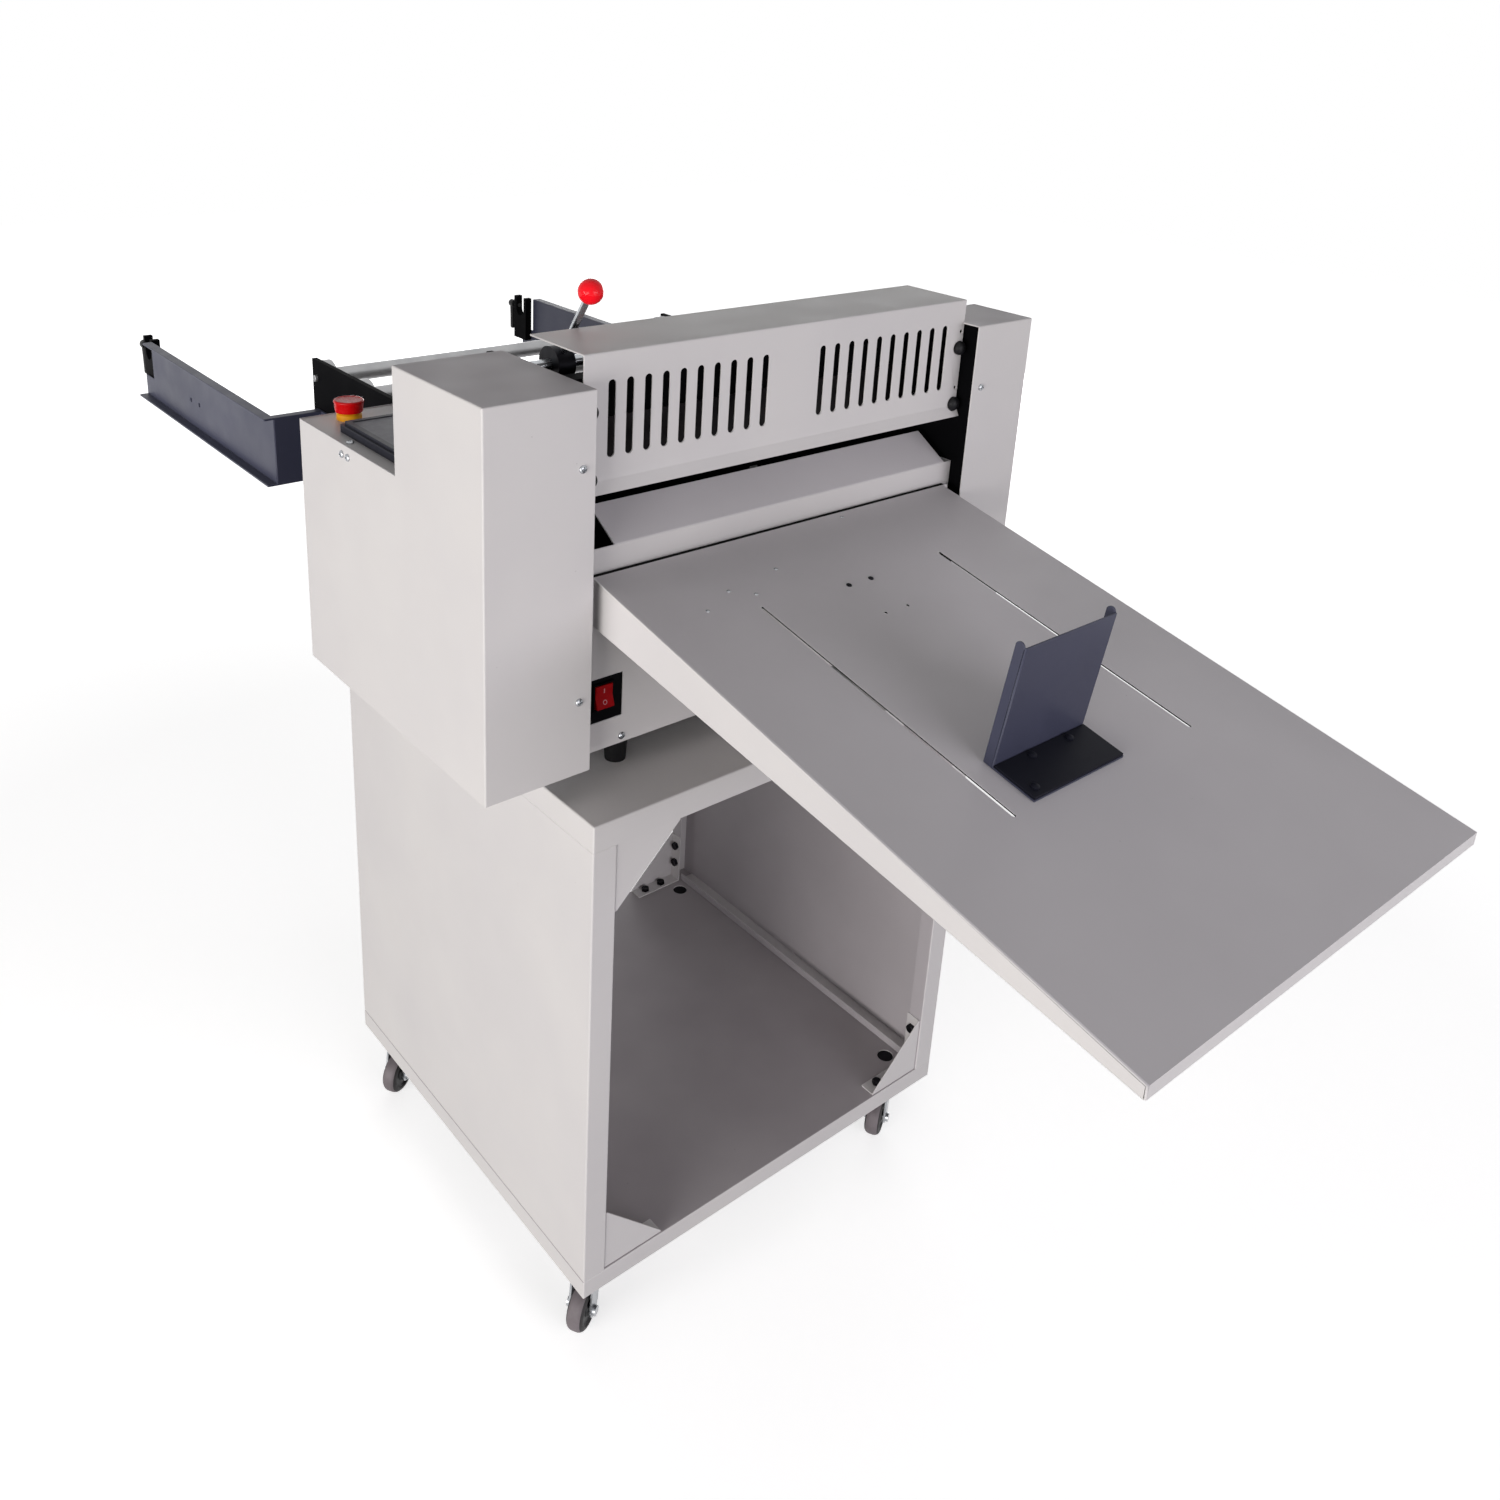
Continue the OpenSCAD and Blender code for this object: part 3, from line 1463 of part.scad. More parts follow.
stand_side_left();
stand_side_right();
stand_top();
stand_floor();
corner_brackets();
bracket_bolts();
caster_plates();
caster_fork_front_left();
caster_fork_front_right();
caster_fork_rear_left();
caster_fork_rear_right();
caster_wheel_front_left();
caster_wheel_front_right();
caster_wheel_rear_left();
caster_wheel_rear_right();
rubber_feet();
base_plate();
front_panel();
rear_panel();
side_plate_left();
side_plate_right();
left_housing();
right_housing();
control_plate();
display_bezel();
display_glass();
stop_collar();
stop_button();
guard();
guard_knobs();
knife_bed();
lower_blade();
upper_blade();
blade_beam();
crank();
cutter_motor();
drive_roller();
pressure_roller();
pressure_straps();
lever_shaft();
lever_hub();
lever_ball();
idler_rear();
idler_front();
tray();
backstop();
backstop_base();
switch_plate();
rocker();
arm_left();
arm_right();
clamp_blocks();
clamp_lever_left();
clamp_lever_right();
feed_motor();
motor_pulley();
drive_belt();
panel_screws();
control_unit();
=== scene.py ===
# %% [markdown]
# # A roll to sheet cutter on its stand
# The machine draws paper off a roll, cuts it behind a slotted guard and drops the sheets on a sloping
# tray. Its folded sheets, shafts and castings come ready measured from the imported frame. This lesson
# gives them what a drawing leaves out: the soft edge of a folded sheet, the peel of powder coat, screws
# and light.

# %% Load the frame
import json
import math

import bmesh
import bpy
import numpy as np
from mathutils import Matrix, Vector

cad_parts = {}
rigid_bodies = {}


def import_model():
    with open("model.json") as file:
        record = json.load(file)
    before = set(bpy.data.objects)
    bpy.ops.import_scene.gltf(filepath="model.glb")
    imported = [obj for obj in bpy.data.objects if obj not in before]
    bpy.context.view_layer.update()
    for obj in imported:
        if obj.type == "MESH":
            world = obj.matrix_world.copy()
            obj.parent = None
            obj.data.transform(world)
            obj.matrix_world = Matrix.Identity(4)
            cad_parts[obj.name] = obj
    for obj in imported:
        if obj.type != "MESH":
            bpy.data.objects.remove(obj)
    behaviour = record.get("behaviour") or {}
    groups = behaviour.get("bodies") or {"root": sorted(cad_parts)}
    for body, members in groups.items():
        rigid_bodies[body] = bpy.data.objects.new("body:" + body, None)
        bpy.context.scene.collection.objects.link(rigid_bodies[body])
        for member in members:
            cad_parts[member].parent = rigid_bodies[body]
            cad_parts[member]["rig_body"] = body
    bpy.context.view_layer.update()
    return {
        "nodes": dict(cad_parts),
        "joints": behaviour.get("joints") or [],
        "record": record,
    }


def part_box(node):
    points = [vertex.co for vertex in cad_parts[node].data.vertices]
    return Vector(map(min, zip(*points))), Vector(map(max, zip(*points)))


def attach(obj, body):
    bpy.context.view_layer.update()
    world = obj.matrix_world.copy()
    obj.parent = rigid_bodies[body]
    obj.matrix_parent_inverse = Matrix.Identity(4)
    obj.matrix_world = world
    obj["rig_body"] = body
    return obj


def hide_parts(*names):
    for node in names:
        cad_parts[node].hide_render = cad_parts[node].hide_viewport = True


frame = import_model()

MM = 0.001
bpy.context.scene.view_settings.view_transform = "Standard"

# %% [markdown]
# ## The camera
# The photograph was taken from the front left, a little above the machine, with a short lens. The place,
# the heading and the lens were worked out from edges that are square on the real machine. The picture
# was set off centre on its page, which is what the lens shift repeats.

# %% Camera
CAMERA_PLACE = Vector((-1.0974, -1.3800, 1.6884))
CAMERA_HEADING = math.radians(40.0)
CAMERA_DIP = math.radians(19.75)
CAMERA_ROLL = math.radians(2.77)
CAMERA_LENS_MM = 32.64
CAMERA_SHIFT = (0.034, -0.173)


def aim(spot, heading, dip, roll=0.0):
    """Matrix of a camera or lamp that looks along heading, turned from +Y to +X, and down by dip."""
    level = Vector((math.cos(heading), -math.sin(heading), 0))
    ahead = Vector((math.sin(heading) * math.cos(dip), math.cos(heading) * math.cos(dip), -math.sin(dip)))
    above = level.cross(ahead)
    right = level * math.cos(roll) + above * math.sin(roll)
    up = right.cross(ahead)
    turn = Matrix((right, up, -ahead)).transposed()
    return Matrix.Translation(spot) @ turn.to_4x4()


camera = bpy.data.objects.new("camera", bpy.data.cameras.new("camera"))
camera.data.lens = CAMERA_LENS_MM
camera.data.shift_x, camera.data.shift_y = CAMERA_SHIFT
camera.matrix_world = aim(CAMERA_PLACE, CAMERA_HEADING, CAMERA_DIP, CAMERA_ROLL)
bpy.context.scene.collection.objects.link(camera)
bpy.context.scene.camera = camera
print("camera:", CAMERA_LENS_MM, "mm lens, heading", round(math.degrees(CAMERA_HEADING)), "degrees")

# %% [markdown]
# ## Helpers for materials
# Colours are written as they look on a screen, in sRGB hex, and turned to the linear values that light
# works in. One small function adds any node, sets it and links it, so each material reads as a recipe.
# Patterns read Object coordinates, which are metres on every piece, so a size in millimetres fixes their
# scale.

# %% Colour and node helpers


def linear(code):
    """Linear RGBA of an sRGB hex colour: c/12.92 below 0.04045, else ((c + 0.055) / 1.055) ** 2.4."""
    srgb = np.array([int(code[i:i + 2], 16) for i in (1, 3, 5)]) / 255
    rgb = np.where(srgb <= 0.04045, srgb / 12.92, ((srgb + 0.055) / 1.055) ** 2.4)
    return (*rgb.tolist(), 1.0)


def add(tree, kind, inputs=None, **settings):
    """Adds one node, sets its properties, and gives its inputs values or links.

    A node given as a value stands for its first output in use."""
    node = tree.nodes.new(kind)
    for name, value in settings.items():
        setattr(node, name, value)
    for key, value in (inputs or {}).items():
        if isinstance(value, bpy.types.Node):
            value = next(socket for socket in value.outputs if socket.enabled)
        if isinstance(value, bpy.types.NodeSocket):
            tree.links.new(value, node.inputs[key])
        else:
            node.inputs[key].default_value = value
    return node


def new_material(name):
    """An empty node material, its tree, and its object coordinates."""
    material = bpy.data.materials.new(name)
    material.use_nodes = True
    material.node_tree.nodes.clear()
    return material, material.node_tree, add(material.node_tree, "ShaderNodeTexCoord").outputs["Object"]


def per_mm(size):
    """Pattern scale that gives grains of about this many millimetres."""
    return 1 / (size * MM)


MIX_FIRST, MIX_SECOND = 6, 7
print("helpers: hex to linear, add a node, start a material")

# %% [markdown]
# ## Powder coat
# The stand, housings, guard and tray are cold rolled steel with a baked powder coat. Powder melts into a
# film with a faint orange peel about 2 mm across, satin rather than glossy, which shows as soft,
# slightly broken reflections. Handling leaves cloudy patches a hand wide and a few specks. The same coat
# comes in pale grey, slate and black, so one function makes them all. Darker copies of the pale coat are
# painted shade inside the cabinet and on tops, and a lighter copy is painted light on the guide and tray.

# %% Powder coated steel
CLOUD_MM, SHEEN_MM, PEEL_MM, SPECK_MM = 180, 60, 2.2, 14
PEEL_DEPTH_MM = 0.03
SPECK_EDGE = 0.01
SHEEN_DOWN, SHEEN_UP = 0.05, 0.06


def powder_coat(name, colour, cloud, speck, roughness, gloss=0.5, speck_share=0.16):
    """Baked powder on steel: clouded colour, rare specks, orange peel and satin reflections."""
    material, tree, where = new_material(name)
    hands = add(tree, "ShaderNodeTexNoise", {"Vector": where, "Scale": per_mm(CLOUD_MM), "Detail": 3})
    clouds = add(tree, "ShaderNodeMapRange", {"Value": hands, "From Min": 0.35, "From Max": 0.65})
    ends = {"Factor": clouds, MIX_FIRST: linear(colour), MIX_SECOND: linear(cloud)}
    base = add(tree, "ShaderNodeMix", ends, data_type="RGBA")
    cells = add(tree, "ShaderNodeTexVoronoi", {"Vector": where, "Scale": per_mm(SPECK_MM)})
    near = {"Value": cells, "From Min": 0.03, "From Max": 0.05, "To Min": 1, "To Max": 0}
    drawn = {"Value": cells.outputs["Color"], "From Min": speck_share, "To Min": 1, "To Max": 0}
    drawn["From Max"] = speck_share + SPECK_EDGE
    both = {0: add(tree, "ShaderNodeMapRange", near), 1: add(tree, "ShaderNodeMapRange", drawn)}
    marks = add(tree, "ShaderNodeMath", both, operation="MULTIPLY")
    ends = {"Factor": marks, MIX_FIRST: base, MIX_SECOND: linear(speck)}
    marked = add(tree, "ShaderNodeMix", ends, data_type="RGBA")
    patches = add(tree, "ShaderNodeTexNoise", {"Vector": where, "Scale": per_mm(SHEEN_MM), "Detail": 4})
    shine = add(tree, "ShaderNodeMapRange", {
        "Value": patches, "From Min": 0.3, "From Max": 0.7,
        "To Min": roughness - SHEEN_DOWN, "To Max": roughness + SHEEN_UP,
    })
    peel = add(tree, "ShaderNodeTexNoise", {"Vector": where, "Scale": per_mm(PEEL_MM), "Detail": 1})
    relief = add(tree, "ShaderNodeBump", {"Height": peel, "Distance": PEEL_DEPTH_MM * MM, "Strength": 0.5})
    shader = add(tree, "ShaderNodeBsdfPrincipled", {
        "Base Color": marked, "Roughness": shine, "Specular IOR Level": gloss, "Normal": relief,
    })
    add(tree, "ShaderNodeOutputMaterial", {"Surface": shader})
    return material


# Pale satin: each face reads by its shade alone
pale_coat = powder_coat("pale_powder_coat", "#DAD7D6", "#D6D3D3", "#B9B5B4", 0.45, gloss=0.3)
# Dull and darker, with more specks: painted shade on the shelf inside the cabinet
shelf_shade_coat = powder_coat(
    "shelf_painted_shade_coat", "#B3AEB0", "#A9A3A6", "#7C7779", 0.5, gloss=0.25, speck_share=0.32,
)
# The pale coat made darker: painted shade on the cabinet's inner walls and the housings' tops
painted_shade_coat = powder_coat("painted_shade_powder_coat", "#C6C1C4", "#BFBABD", "#8A8588", 0.48, gloss=0.25)
# The pale coat made lighter and a little smoother: painted light on the guide and the tray
painted_light_coat = powder_coat("painted_light_powder_coat", "#E3DFE2", "#DFDBDE", "#C2BEC0", 0.43, gloss=0.3)
# Blue grey satin on the roll arms and the backstop
slate_coat = powder_coat("slate_powder_coat", "#414356", "#3C3E50", "#5E6070", 0.42, gloss=0.3)
# Matt black that swallows light
black_coat = powder_coat("black_powder_coat", "#09090B", "#0C0C0E", "#1C1C1F", 0.6, gloss=0.02)
# Nearly black, with a hint of the slate beside it
base_coat = powder_coat("dark_slate_powder_coat", "#171822", "#13141D", "#2A2B36", 0.5, gloss=0.1)
# Plain dark enamel on the motors
motor_coat = powder_coat("motor_enamel", "#35363A", "#2F3034", "#55565A", 0.5)
print("powder coats: 8, from", pale_coat.name, "to", motor_coat.name)

# %% [markdown]
# ## Metals
# Screws, forks and inner brackets are zinc plated: bright, a little milky. Blades and shafts are ground,
# so fine lines run along them. The idler tubes are drawn aluminium with a dull satin skin. Bolts and the
# lever's hub are blackened. A grinding line is far finer than a pixel, so it is drawn a millimetre wide.

# %% Metals
LINE_STRETCH = 80
PATCH_MM = 25
LINE_DEPTH_MM = 0.02
LINE_DOWN, LINE_UP = 0.07, 0.1


def bare_metal(name, colour, dark, roughness, line_mm, along):
    """Bare or plated metal: fine lines along one axis, drawn out eighty times, and uneven shine."""
    material, tree, where = new_material(name)
    stretch = [1.0, 1.0, 1.0]
    stretch["XYZ".index(along)] = 1 / LINE_STRETCH
    drawn = add(tree, "ShaderNodeMapping", {"Vector": where, "Scale": stretch})
    lines = add(tree, "ShaderNodeTexNoise", {"Vector": drawn, "Scale": per_mm(line_mm), "Detail": 3})
    blotches = add(tree, "ShaderNodeTexNoise", {"Vector": where, "Scale": per_mm(PATCH_MM), "Detail": 2})
    patches = add(tree, "ShaderNodeMapRange", {"Value": blotches, "From Min": 0.3, "From Max": 0.7})
    ends = {"Factor": patches, MIX_FIRST: linear(colour), MIX_SECOND: linear(dark)}
    base = add(tree, "ShaderNodeMix", ends, data_type="RGBA")
    shine = add(tree, "ShaderNodeMapRange", {
        "Value": lines, "From Min": 0.3, "From Max": 0.7,
        "To Min": roughness - LINE_DOWN, "To Max": roughness + LINE_UP,
    })
    relief = add(tree, "ShaderNodeBump", {"Height": lines, "Distance": LINE_DEPTH_MM * MM, "Strength": 0.3})
    shader = add(tree, "ShaderNodeBsdfPrincipled", {
        "Base Color": base, "Roughness": shine, "Metallic": 1.0, "Normal": relief,
    })
    add(tree, "ShaderNodeOutputMaterial", {"Surface": shader})
    return material


# Bright and milky, for screws, forks and rods
zinc = bare_metal("zinc_plated_steel", "#B4B6B9", "#9DA0A4", 0.26, 1.0, "Z")
# The brightest metal, streaked along the machine's width
ground_steel = bare_metal("ground_tool_steel", "#C4C7CA", "#AEB1B5", 0.24, 1.0, "X")
# Soft grey tubes with a long, dull highlight
idler_skin = bare_metal("drawn_aluminium", "#AFAFB0", "#A2A2A4", 0.42, 1.2, "X")
# Dark blade: painted shade that keeps the guard's slots black
slot_shade_steel = bare_metal("painted_shade_knife_steel", "#2B2829", "#201E20", 0.5, 1.0, "X")
# Dark bolts with a faint metal edge
black_oxide = bare_metal("blackened_steel", "#26262A", "#1B1B1E", 0.42, 1.5, "Z")
print("metals: 5, from", zinc.name, "to", black_oxide.name)

# %% [markdown]
# ## Plastics and rubber
# Knobs and clamp handles are moulded nylon with a fine spark finish. The ball, the stop button and the
# rocker are glossy reds, the collar is a plain yellow. The display is a dark screen under clear plastic.
# The feed rollers and feet are rubber, the caster tyres a harder one with a tread grey with dust.

# %% Plastics and rubber
FLOW_MM, SKIN_MM = 22, 9
COAT_ROUGHNESS = 0.05
SKIN_DOWN, SKIN_UP = 0.04, 0.06


def moulded(name, colour, worn, roughness, texture_mm, depth_mm, coat=0.0, gloss=0.5):
    """Moulded plastic or rubber: an even colour with faint flow marks and a spark finished skin."""
    material, tree, where = new_material(name)
    streams = add(tree, "ShaderNodeTexNoise", {"Vector": where, "Scale": per_mm(FLOW_MM), "Detail": 3})
    flow = add(tree, "ShaderNodeMapRange", {"Value": streams, "From Min": 0.4, "From Max": 0.75})
    ends = {"Factor": flow, MIX_FIRST: linear(colour), MIX_SECOND: linear(worn)}
    base = add(tree, "ShaderNodeMix", ends, data_type="RGBA")
    patches = add(tree, "ShaderNodeTexNoise", {"Vector": where, "Scale": per_mm(SKIN_MM), "Detail": 3})
    shine = add(tree, "ShaderNodeMapRange", {
        "Value": patches, "From Min": 0.3, "From Max": 0.7,
        "To Min": roughness - SKIN_DOWN, "To Max": roughness + SKIN_UP,
    })
    sparks = add(tree, "ShaderNodeTexNoise", {"Vector": where, "Scale": per_mm(texture_mm), "Detail": 1})
    relief = add(tree, "ShaderNodeBump", {"Height": sparks, "Distance": depth_mm * MM, "Strength": 0.4})
    shader = add(tree, "ShaderNodeBsdfPrincipled", {
        "Base Color": base, "Roughness": shine, "Specular IOR Level": gloss, "Normal": relief,
        "Coat Weight": coat, "Coat Roughness": COAT_ROUGHNESS,
    })
    add(tree, "ShaderNodeOutputMaterial", {"Surface": shader})
    return material


# Dark and quiet: nylon knobs and levers, and the display's smoother frame
black_nylon = moulded("black_nylon", "#0E0E10", "#161619", 0.46, 0.9, 0.03, gloss=0.2)
black_abs = moulded("black_abs", "#1E1F28", "#24252E", 0.42, 0.9, 0.02, gloss=0.16)
# Three reds: the ball mirrors the room, the button is satin, the rocker deep
red_gloss = moulded("red_phenolic", "#FF1424", "#F8101F", 0.12, 3.0, 0.005, gloss=0.14)
red_button = moulded("red_button_plastic", "#D2060C", "#C4040A", 0.26, 2.0, 0.01, gloss=0.18)
red_rocker = moulded("red_rocker_plastic", "#AE030C", "#9C020A", 0.3, 2.0, 0.005, gloss=0.05)
# Warm yellow under the button, and a print worn towards the red below it
yellow_collar = moulded("yellow_polyamide", "#FBB11C", "#F4A813", 0.4, 1.2, 0.01, gloss=0.3)
white_ink = moulded("white_print", "#C8848A", "#BC767C", 0.5, 0.8, 0.005)
# Matt rubbers: black rollers and feet, dark tyre walls and a dusty tread
roller_rubber = moulded("nitrile_rubber", "#121213", "#1A1A1B", 0.62, 1.4, 0.05, gloss=0.1)
tyre_rubber = moulded("tyre_rubber", "#1C1A1B", "#282526", 0.55, 1.6, 0.06, gloss=0.4)
tread_rubber = moulded("dusty_tyre_rubber", "#6E676A", "#7F777B", 0.6, 1.6, 0.06, gloss=0.4)
wheel_plastic = moulded("wheel_core_plastic", "#1A1A1C", "#242326", 0.42, 1.0, 0.02, gloss=0.4)
# A screen that is off, a lacquered board, and a black fill for the tray's gap: painted shade
screen = moulded("display_screen", "#4C4A55", "#53515C", 0.32, 4.0, 0.002, gloss=0.12)
board = moulded("circuit_board_lacquer", "#1E6B3A", "#1B5F35", 0.3, 1.5, 0.03, coat=0.2)
gap_shade_fill = moulded("gap_painted_shade_black", "#070708", "#0B0B0C", 0.8, 1.2, 0.1, gloss=0.05)
print("plastics and rubber: 14, from", black_nylon.name, "to", gap_shade_fill.name)

# %% [markdown]
# ## Which piece has which finish
# The record says which slot each node belongs to. Here each slot gets its Blender material, and a few
# nodes get one of their own, such as the stop button, which is less glossy than the ball.

# %% Finishes by slot
FINISH = {
    "pale_paint": pale_coat, "panel_paint": pale_coat, "slate_paint": slate_coat,
    "black_paint": black_coat, "black_oxide": black_oxide, "zinc_plate": zinc,
    "ground_steel": ground_steel, "idler_aluminium": idler_skin, "roller_rubber": roller_rubber,
    "wheel_rubber": tyre_rubber, "black_plastic": black_nylon, "display_screen": screen,
    "red_plastic": red_gloss, "yellow_plastic": yellow_collar, "motor_paint": motor_coat,
    "circuit_board": board,
}
OWN_FINISH = {
    "stop_button": red_button, "rocker": red_rocker, "display_bezel": black_abs,
    # Dark upper blade and blackened caster plates: painted shade in the guard's slots and the shelf's holes
    "upper_blade": slot_shade_steel, "caster_plates": black_oxide, "backstop_base": base_coat,
}
slot_of = {part["node"]: part["material_slot"] for part in frame["record"]["subparts"]}


def finish_of(node):
    """The material of a node: its own, or that of its slot."""
    return OWN_FINISH.get(node) or FINISH[slot_of[node]]


def dress(piece, material):
    """Gives a piece one material."""
    piece.data.materials.clear()
    piece.data.materials.append(material)


for node, piece in frame["nodes"].items():
    dress(piece, finish_of(node))
print("finishes:", len(FINISH), "slots on", len(frame["nodes"]), "nodes")

# %% [markdown]
# ## Soft edges
# A press brake rounds every fold of a sheet to about the sheet's thickness, and the coat rounds the cut
# edges a little. Those narrow rounds catch the light as the thin bright lines that outline the real
# machine. A node is loose triangles, so a copy is welded, its flat faces are made whole, and a Bevel
# modifier rounds each outward edge. How far it may round is measured: a fold between two wide faces gets
# the full radius, and an edge beside the sheet's own thickness gets a share of it.

# %% Measure the room beside an edge
FLAT = math.radians(1.0)
SHARP = math.radians(30.0)
WELD_MM = 0.002
SAME_RIM_MM = 0.01
FOLD_MM = 2.2
CUT_SHARE = 0.3
PLACES = np.array([0.1, 0.5, 0.9])


def triangles_of(node):
    """A node's points, in metres, and the three corner numbers of each of its triangles."""
    source = frame["nodes"][node].data
    points = np.empty(len(source.vertices) * 3, np.float32)
    corners = np.empty(len(source.loops), np.int32)
    source.vertices.foreach_get("co", points)
    source.loops.foreach_get("vertex_index", corners)
    return points.reshape(-1, 3), corners.reshape(-1, 3)


def whole_faces(node):
    """The node's triangles with their corners welded and the flat ones joined."""
    points, triangles = triangles_of(node)
    mesh = bpy.data.meshes.new(node + "_soft")
    mesh.from_pydata(points.tolist(), [], triangles.tolist())
    shell = bmesh.new()
    shell.from_mesh(mesh)
    bmesh.ops.remove_doubles(shell, verts=shell.verts, dist=WELD_MM * MM)
    bmesh.ops.dissolve_limit(shell, angle_limit=FLAT, verts=shell.verts, edges=shell.edges)
    bmesh.ops.connect_verts_concave(shell, faces=shell.faces)
    shell.normal_update()
    return mesh, shell


def plane_of(face):
    """A name for a face's plane: its normal, and its distance from the origin in tenths of a millimetre."""
    return (*(round(c, 3) for c in face.normal), round(face.normal.dot(face.verts[0].co) / MM, 1))


def room_beside(loop, rims):
    """Distance from an edge, into its face, to the nearest other rim of the same plane.

    Lines square to the edge start at three places on it. A rim from A to B is met where the edge's own
    direction changes sign between A and B, at the distance weighted by those two values."""
    start, end = np.array(loop.vert.co), np.array(loop.link_loop_next.vert.co)
    along = (end - start) / np.linalg.norm(end - start)
    inward = np.cross(np.array(loop.face.normal), along)
    tried = start + PLACES[:, None, None, None] * (end - start)
    offset = rims[None] - tried
    beside, ahead = offset @ along, offset @ inward
    span = beside[..., 1] - beside[..., 0]
    crossed = (beside[..., 0] * beside[..., 1] < 0)
    reach = (ahead[..., 0] * beside[..., 1] - ahead[..., 1] * beside[..., 0]) / np.where(crossed, span, 1)
    met = reach[crossed & (reach > SAME_RIM_MM * MM)]
    return met.min() if len(met) else 0.0


print("rounds: folds", FOLD_MM, "mm, cut edges", CUT_SHARE, "of the sheet")

# %% Soften the folded and cut pieces
body_of = {node: piece["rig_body"] for node, piece in frame["nodes"].items()}


def join(piece, node):
    """Puts a piece on a node's body in that node's place, and hides the node."""
    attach(piece, body_of[node])
    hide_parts(node)


def weigh_edges(shell, fold_mm):
    """Gives each sharp outward edge its share of the radius, from the room in the two faces beside it."""
    weight = shell.edges.layers.float.new("bevel_weight_edge")
    sharp = [e for e in shell.edges if len(e.link_faces) == 2 and e.calc_face_angle() > SHARP]
    rims = {}
    for edge in sharp:
        for face in edge.link_faces:
            rims.setdefault(plane_of(face), []).append([v.co[:] for v in edge.verts])
    rims = {plane: np.array(ends) for plane, ends in rims.items()}
    for edge in sharp:
        room = min(room_beside(loop, rims[plane_of(loop.face)]) for loop in edge.link_loops)
        edge[weight] = min(1.0, CUT_SHARE * room / (fold_mm * MM)) if edge.is_convex else 0.0
        edge.smooth = edge[weight] > 0


def soften(node, fold_mm, segments):
    """A welded copy of a node whose outward edges are rounded as far as their faces allow."""
    mesh, shell = whole_faces(node)
    weigh_edges(shell, fold_mm)
    for face in shell.faces:
        face.smooth = True
    shell.to_mesh(mesh)
    shell.free()
    piece = bpy.data.objects.new(node + "_soft", mesh)
    bpy.context.scene.collection.objects.link(piece)
    dress(piece, finish_of(node))
    rounding = piece.modifiers.new("edge_rounding", "BEVEL")
    rounding.limit_method = "WEIGHT"
    rounding.width = fold_mm * MM
    rounding.segments = segments
    rounding.use_clamp_overlap = False
    rounding.loop_slide = False
    rounding.harden_normals = True
    join(piece, node)
    return piece


FOLDED = (
    "stand_side_left stand_side_right stand_top stand_floor corner_brackets front_panel rear_panel "
    "left_housing right_housing guard tray backstop arm_left arm_right control_plate"
).split()
CUT = (
    "side_plate_left side_plate_right base_plate switch_plate backstop_base clamp_blocks display_bezel "
    "display_glass rocker caster_plates rubber_feet idler_rear idler_front"
).split()
CUT_MM = 0.8
FOLD_STEPS, CUT_STEPS = 3, 2
soft = {node: soften(node, FOLD_MM, FOLD_STEPS) for node in FOLDED}
soft.update({node: soften(node, CUT_MM, CUT_STEPS) for node in CUT})
print("softened:", len(soft), "pieces,", sum(len(p.data.edges) for p in soft.values()), "edges looked at")

# %% [markdown]
# ## Two coats on one sheet
# The cabinet's shelf gets a darker, duller coat with more specks, and its two inner walls and the tops of
# the housings a darker one: painted shade. The inner face of the machine's rear cover is black, painted
# shade for its dark inside. The guide and the tray get a lighter, smoother coat, painted light, and the cut
# walls of the tray's slots are black, painted shade. Faces are picked by the way they point and by their
# place, so all coats stay on one piece.

# %% Second coats
FACING = 0.5
SLOT_REACH = 0.25


def face_values(piece, name):
    """The normals or the centers of a piece's faces, one row each."""
    values = np.empty(len(piece.data.polygons) * 3, np.float32)
    piece.data.polygons.foreach_get(name, values)
    return values.reshape(-1, 3)


def second_coat(piece, material, chosen):
    """Gives one more material to the chosen faces of a piece."""
    numbers = np.empty(len(chosen), np.int32)
    piece.data.polygons.foreach_get("material_index", numbers)
    numbers[chosen] = len(piece.data.materials)
    piece.data.materials.append(material)
    piece.data.polygons.foreach_set("material_index", numbers)


def repaint(node, material, way, reach=math.inf):
    """Coats the faces of a softened node that point along a way, within a reach of x = 0 in metres."""
    facing = face_values(soft[node], "normal") @ np.array(way, np.float32) > FACING
    chosen = facing & (np.abs(face_values(soft[node], "center")[:, 0]) < reach)
    second_coat(soft[node], material, chosen)
    return f"{node} {chosen.sum()}"


coats = [
    # Darker coats: painted shade on the shelf, the cabinet's inner walls and the housings' tops
    repaint("stand_floor", shelf_shade_coat, (0, 0, 1)),
    repaint("stand_side_left", painted_shade_coat, (1, 0, 0)),
    repaint("stand_side_right", painted_shade_coat, (-1, 0, 0)),
    repaint("left_housing", painted_shade_coat, (0, 0, 1)),
    repaint("right_housing", painted_shade_coat, (0, 0, 1)),
    # Black inner face of the rear cover: painted shade for the machine's dark inside
    repaint("rear_panel", black_coat, (0, -1, 0)),
    # Lighter coat on the guide and the tray: painted light
    repaint("front_panel", painted_light_coat, (0, 0, 1)),
    repaint("tray", painted_light_coat, (0, 0, 1)),
    # Black cut walls of the tray's slots: painted shade
    repaint("tray", black_coat, (-1, 0, 0), SLOT_REACH),
]
print("second coats, with their faces:", ", ".join(coats))

# %% [markdown]
# ## Turned pieces
# Screw heads, knobs, the ball, the stop button and the wheels are turned or moulded about an axis. A
# primitive would give a plain cylinder, and a Screw modifier needs a profile object each time. A profile
# of radius and height, turned about Z as one array, is shorter, and any of its rings can be waved into
# another outline.

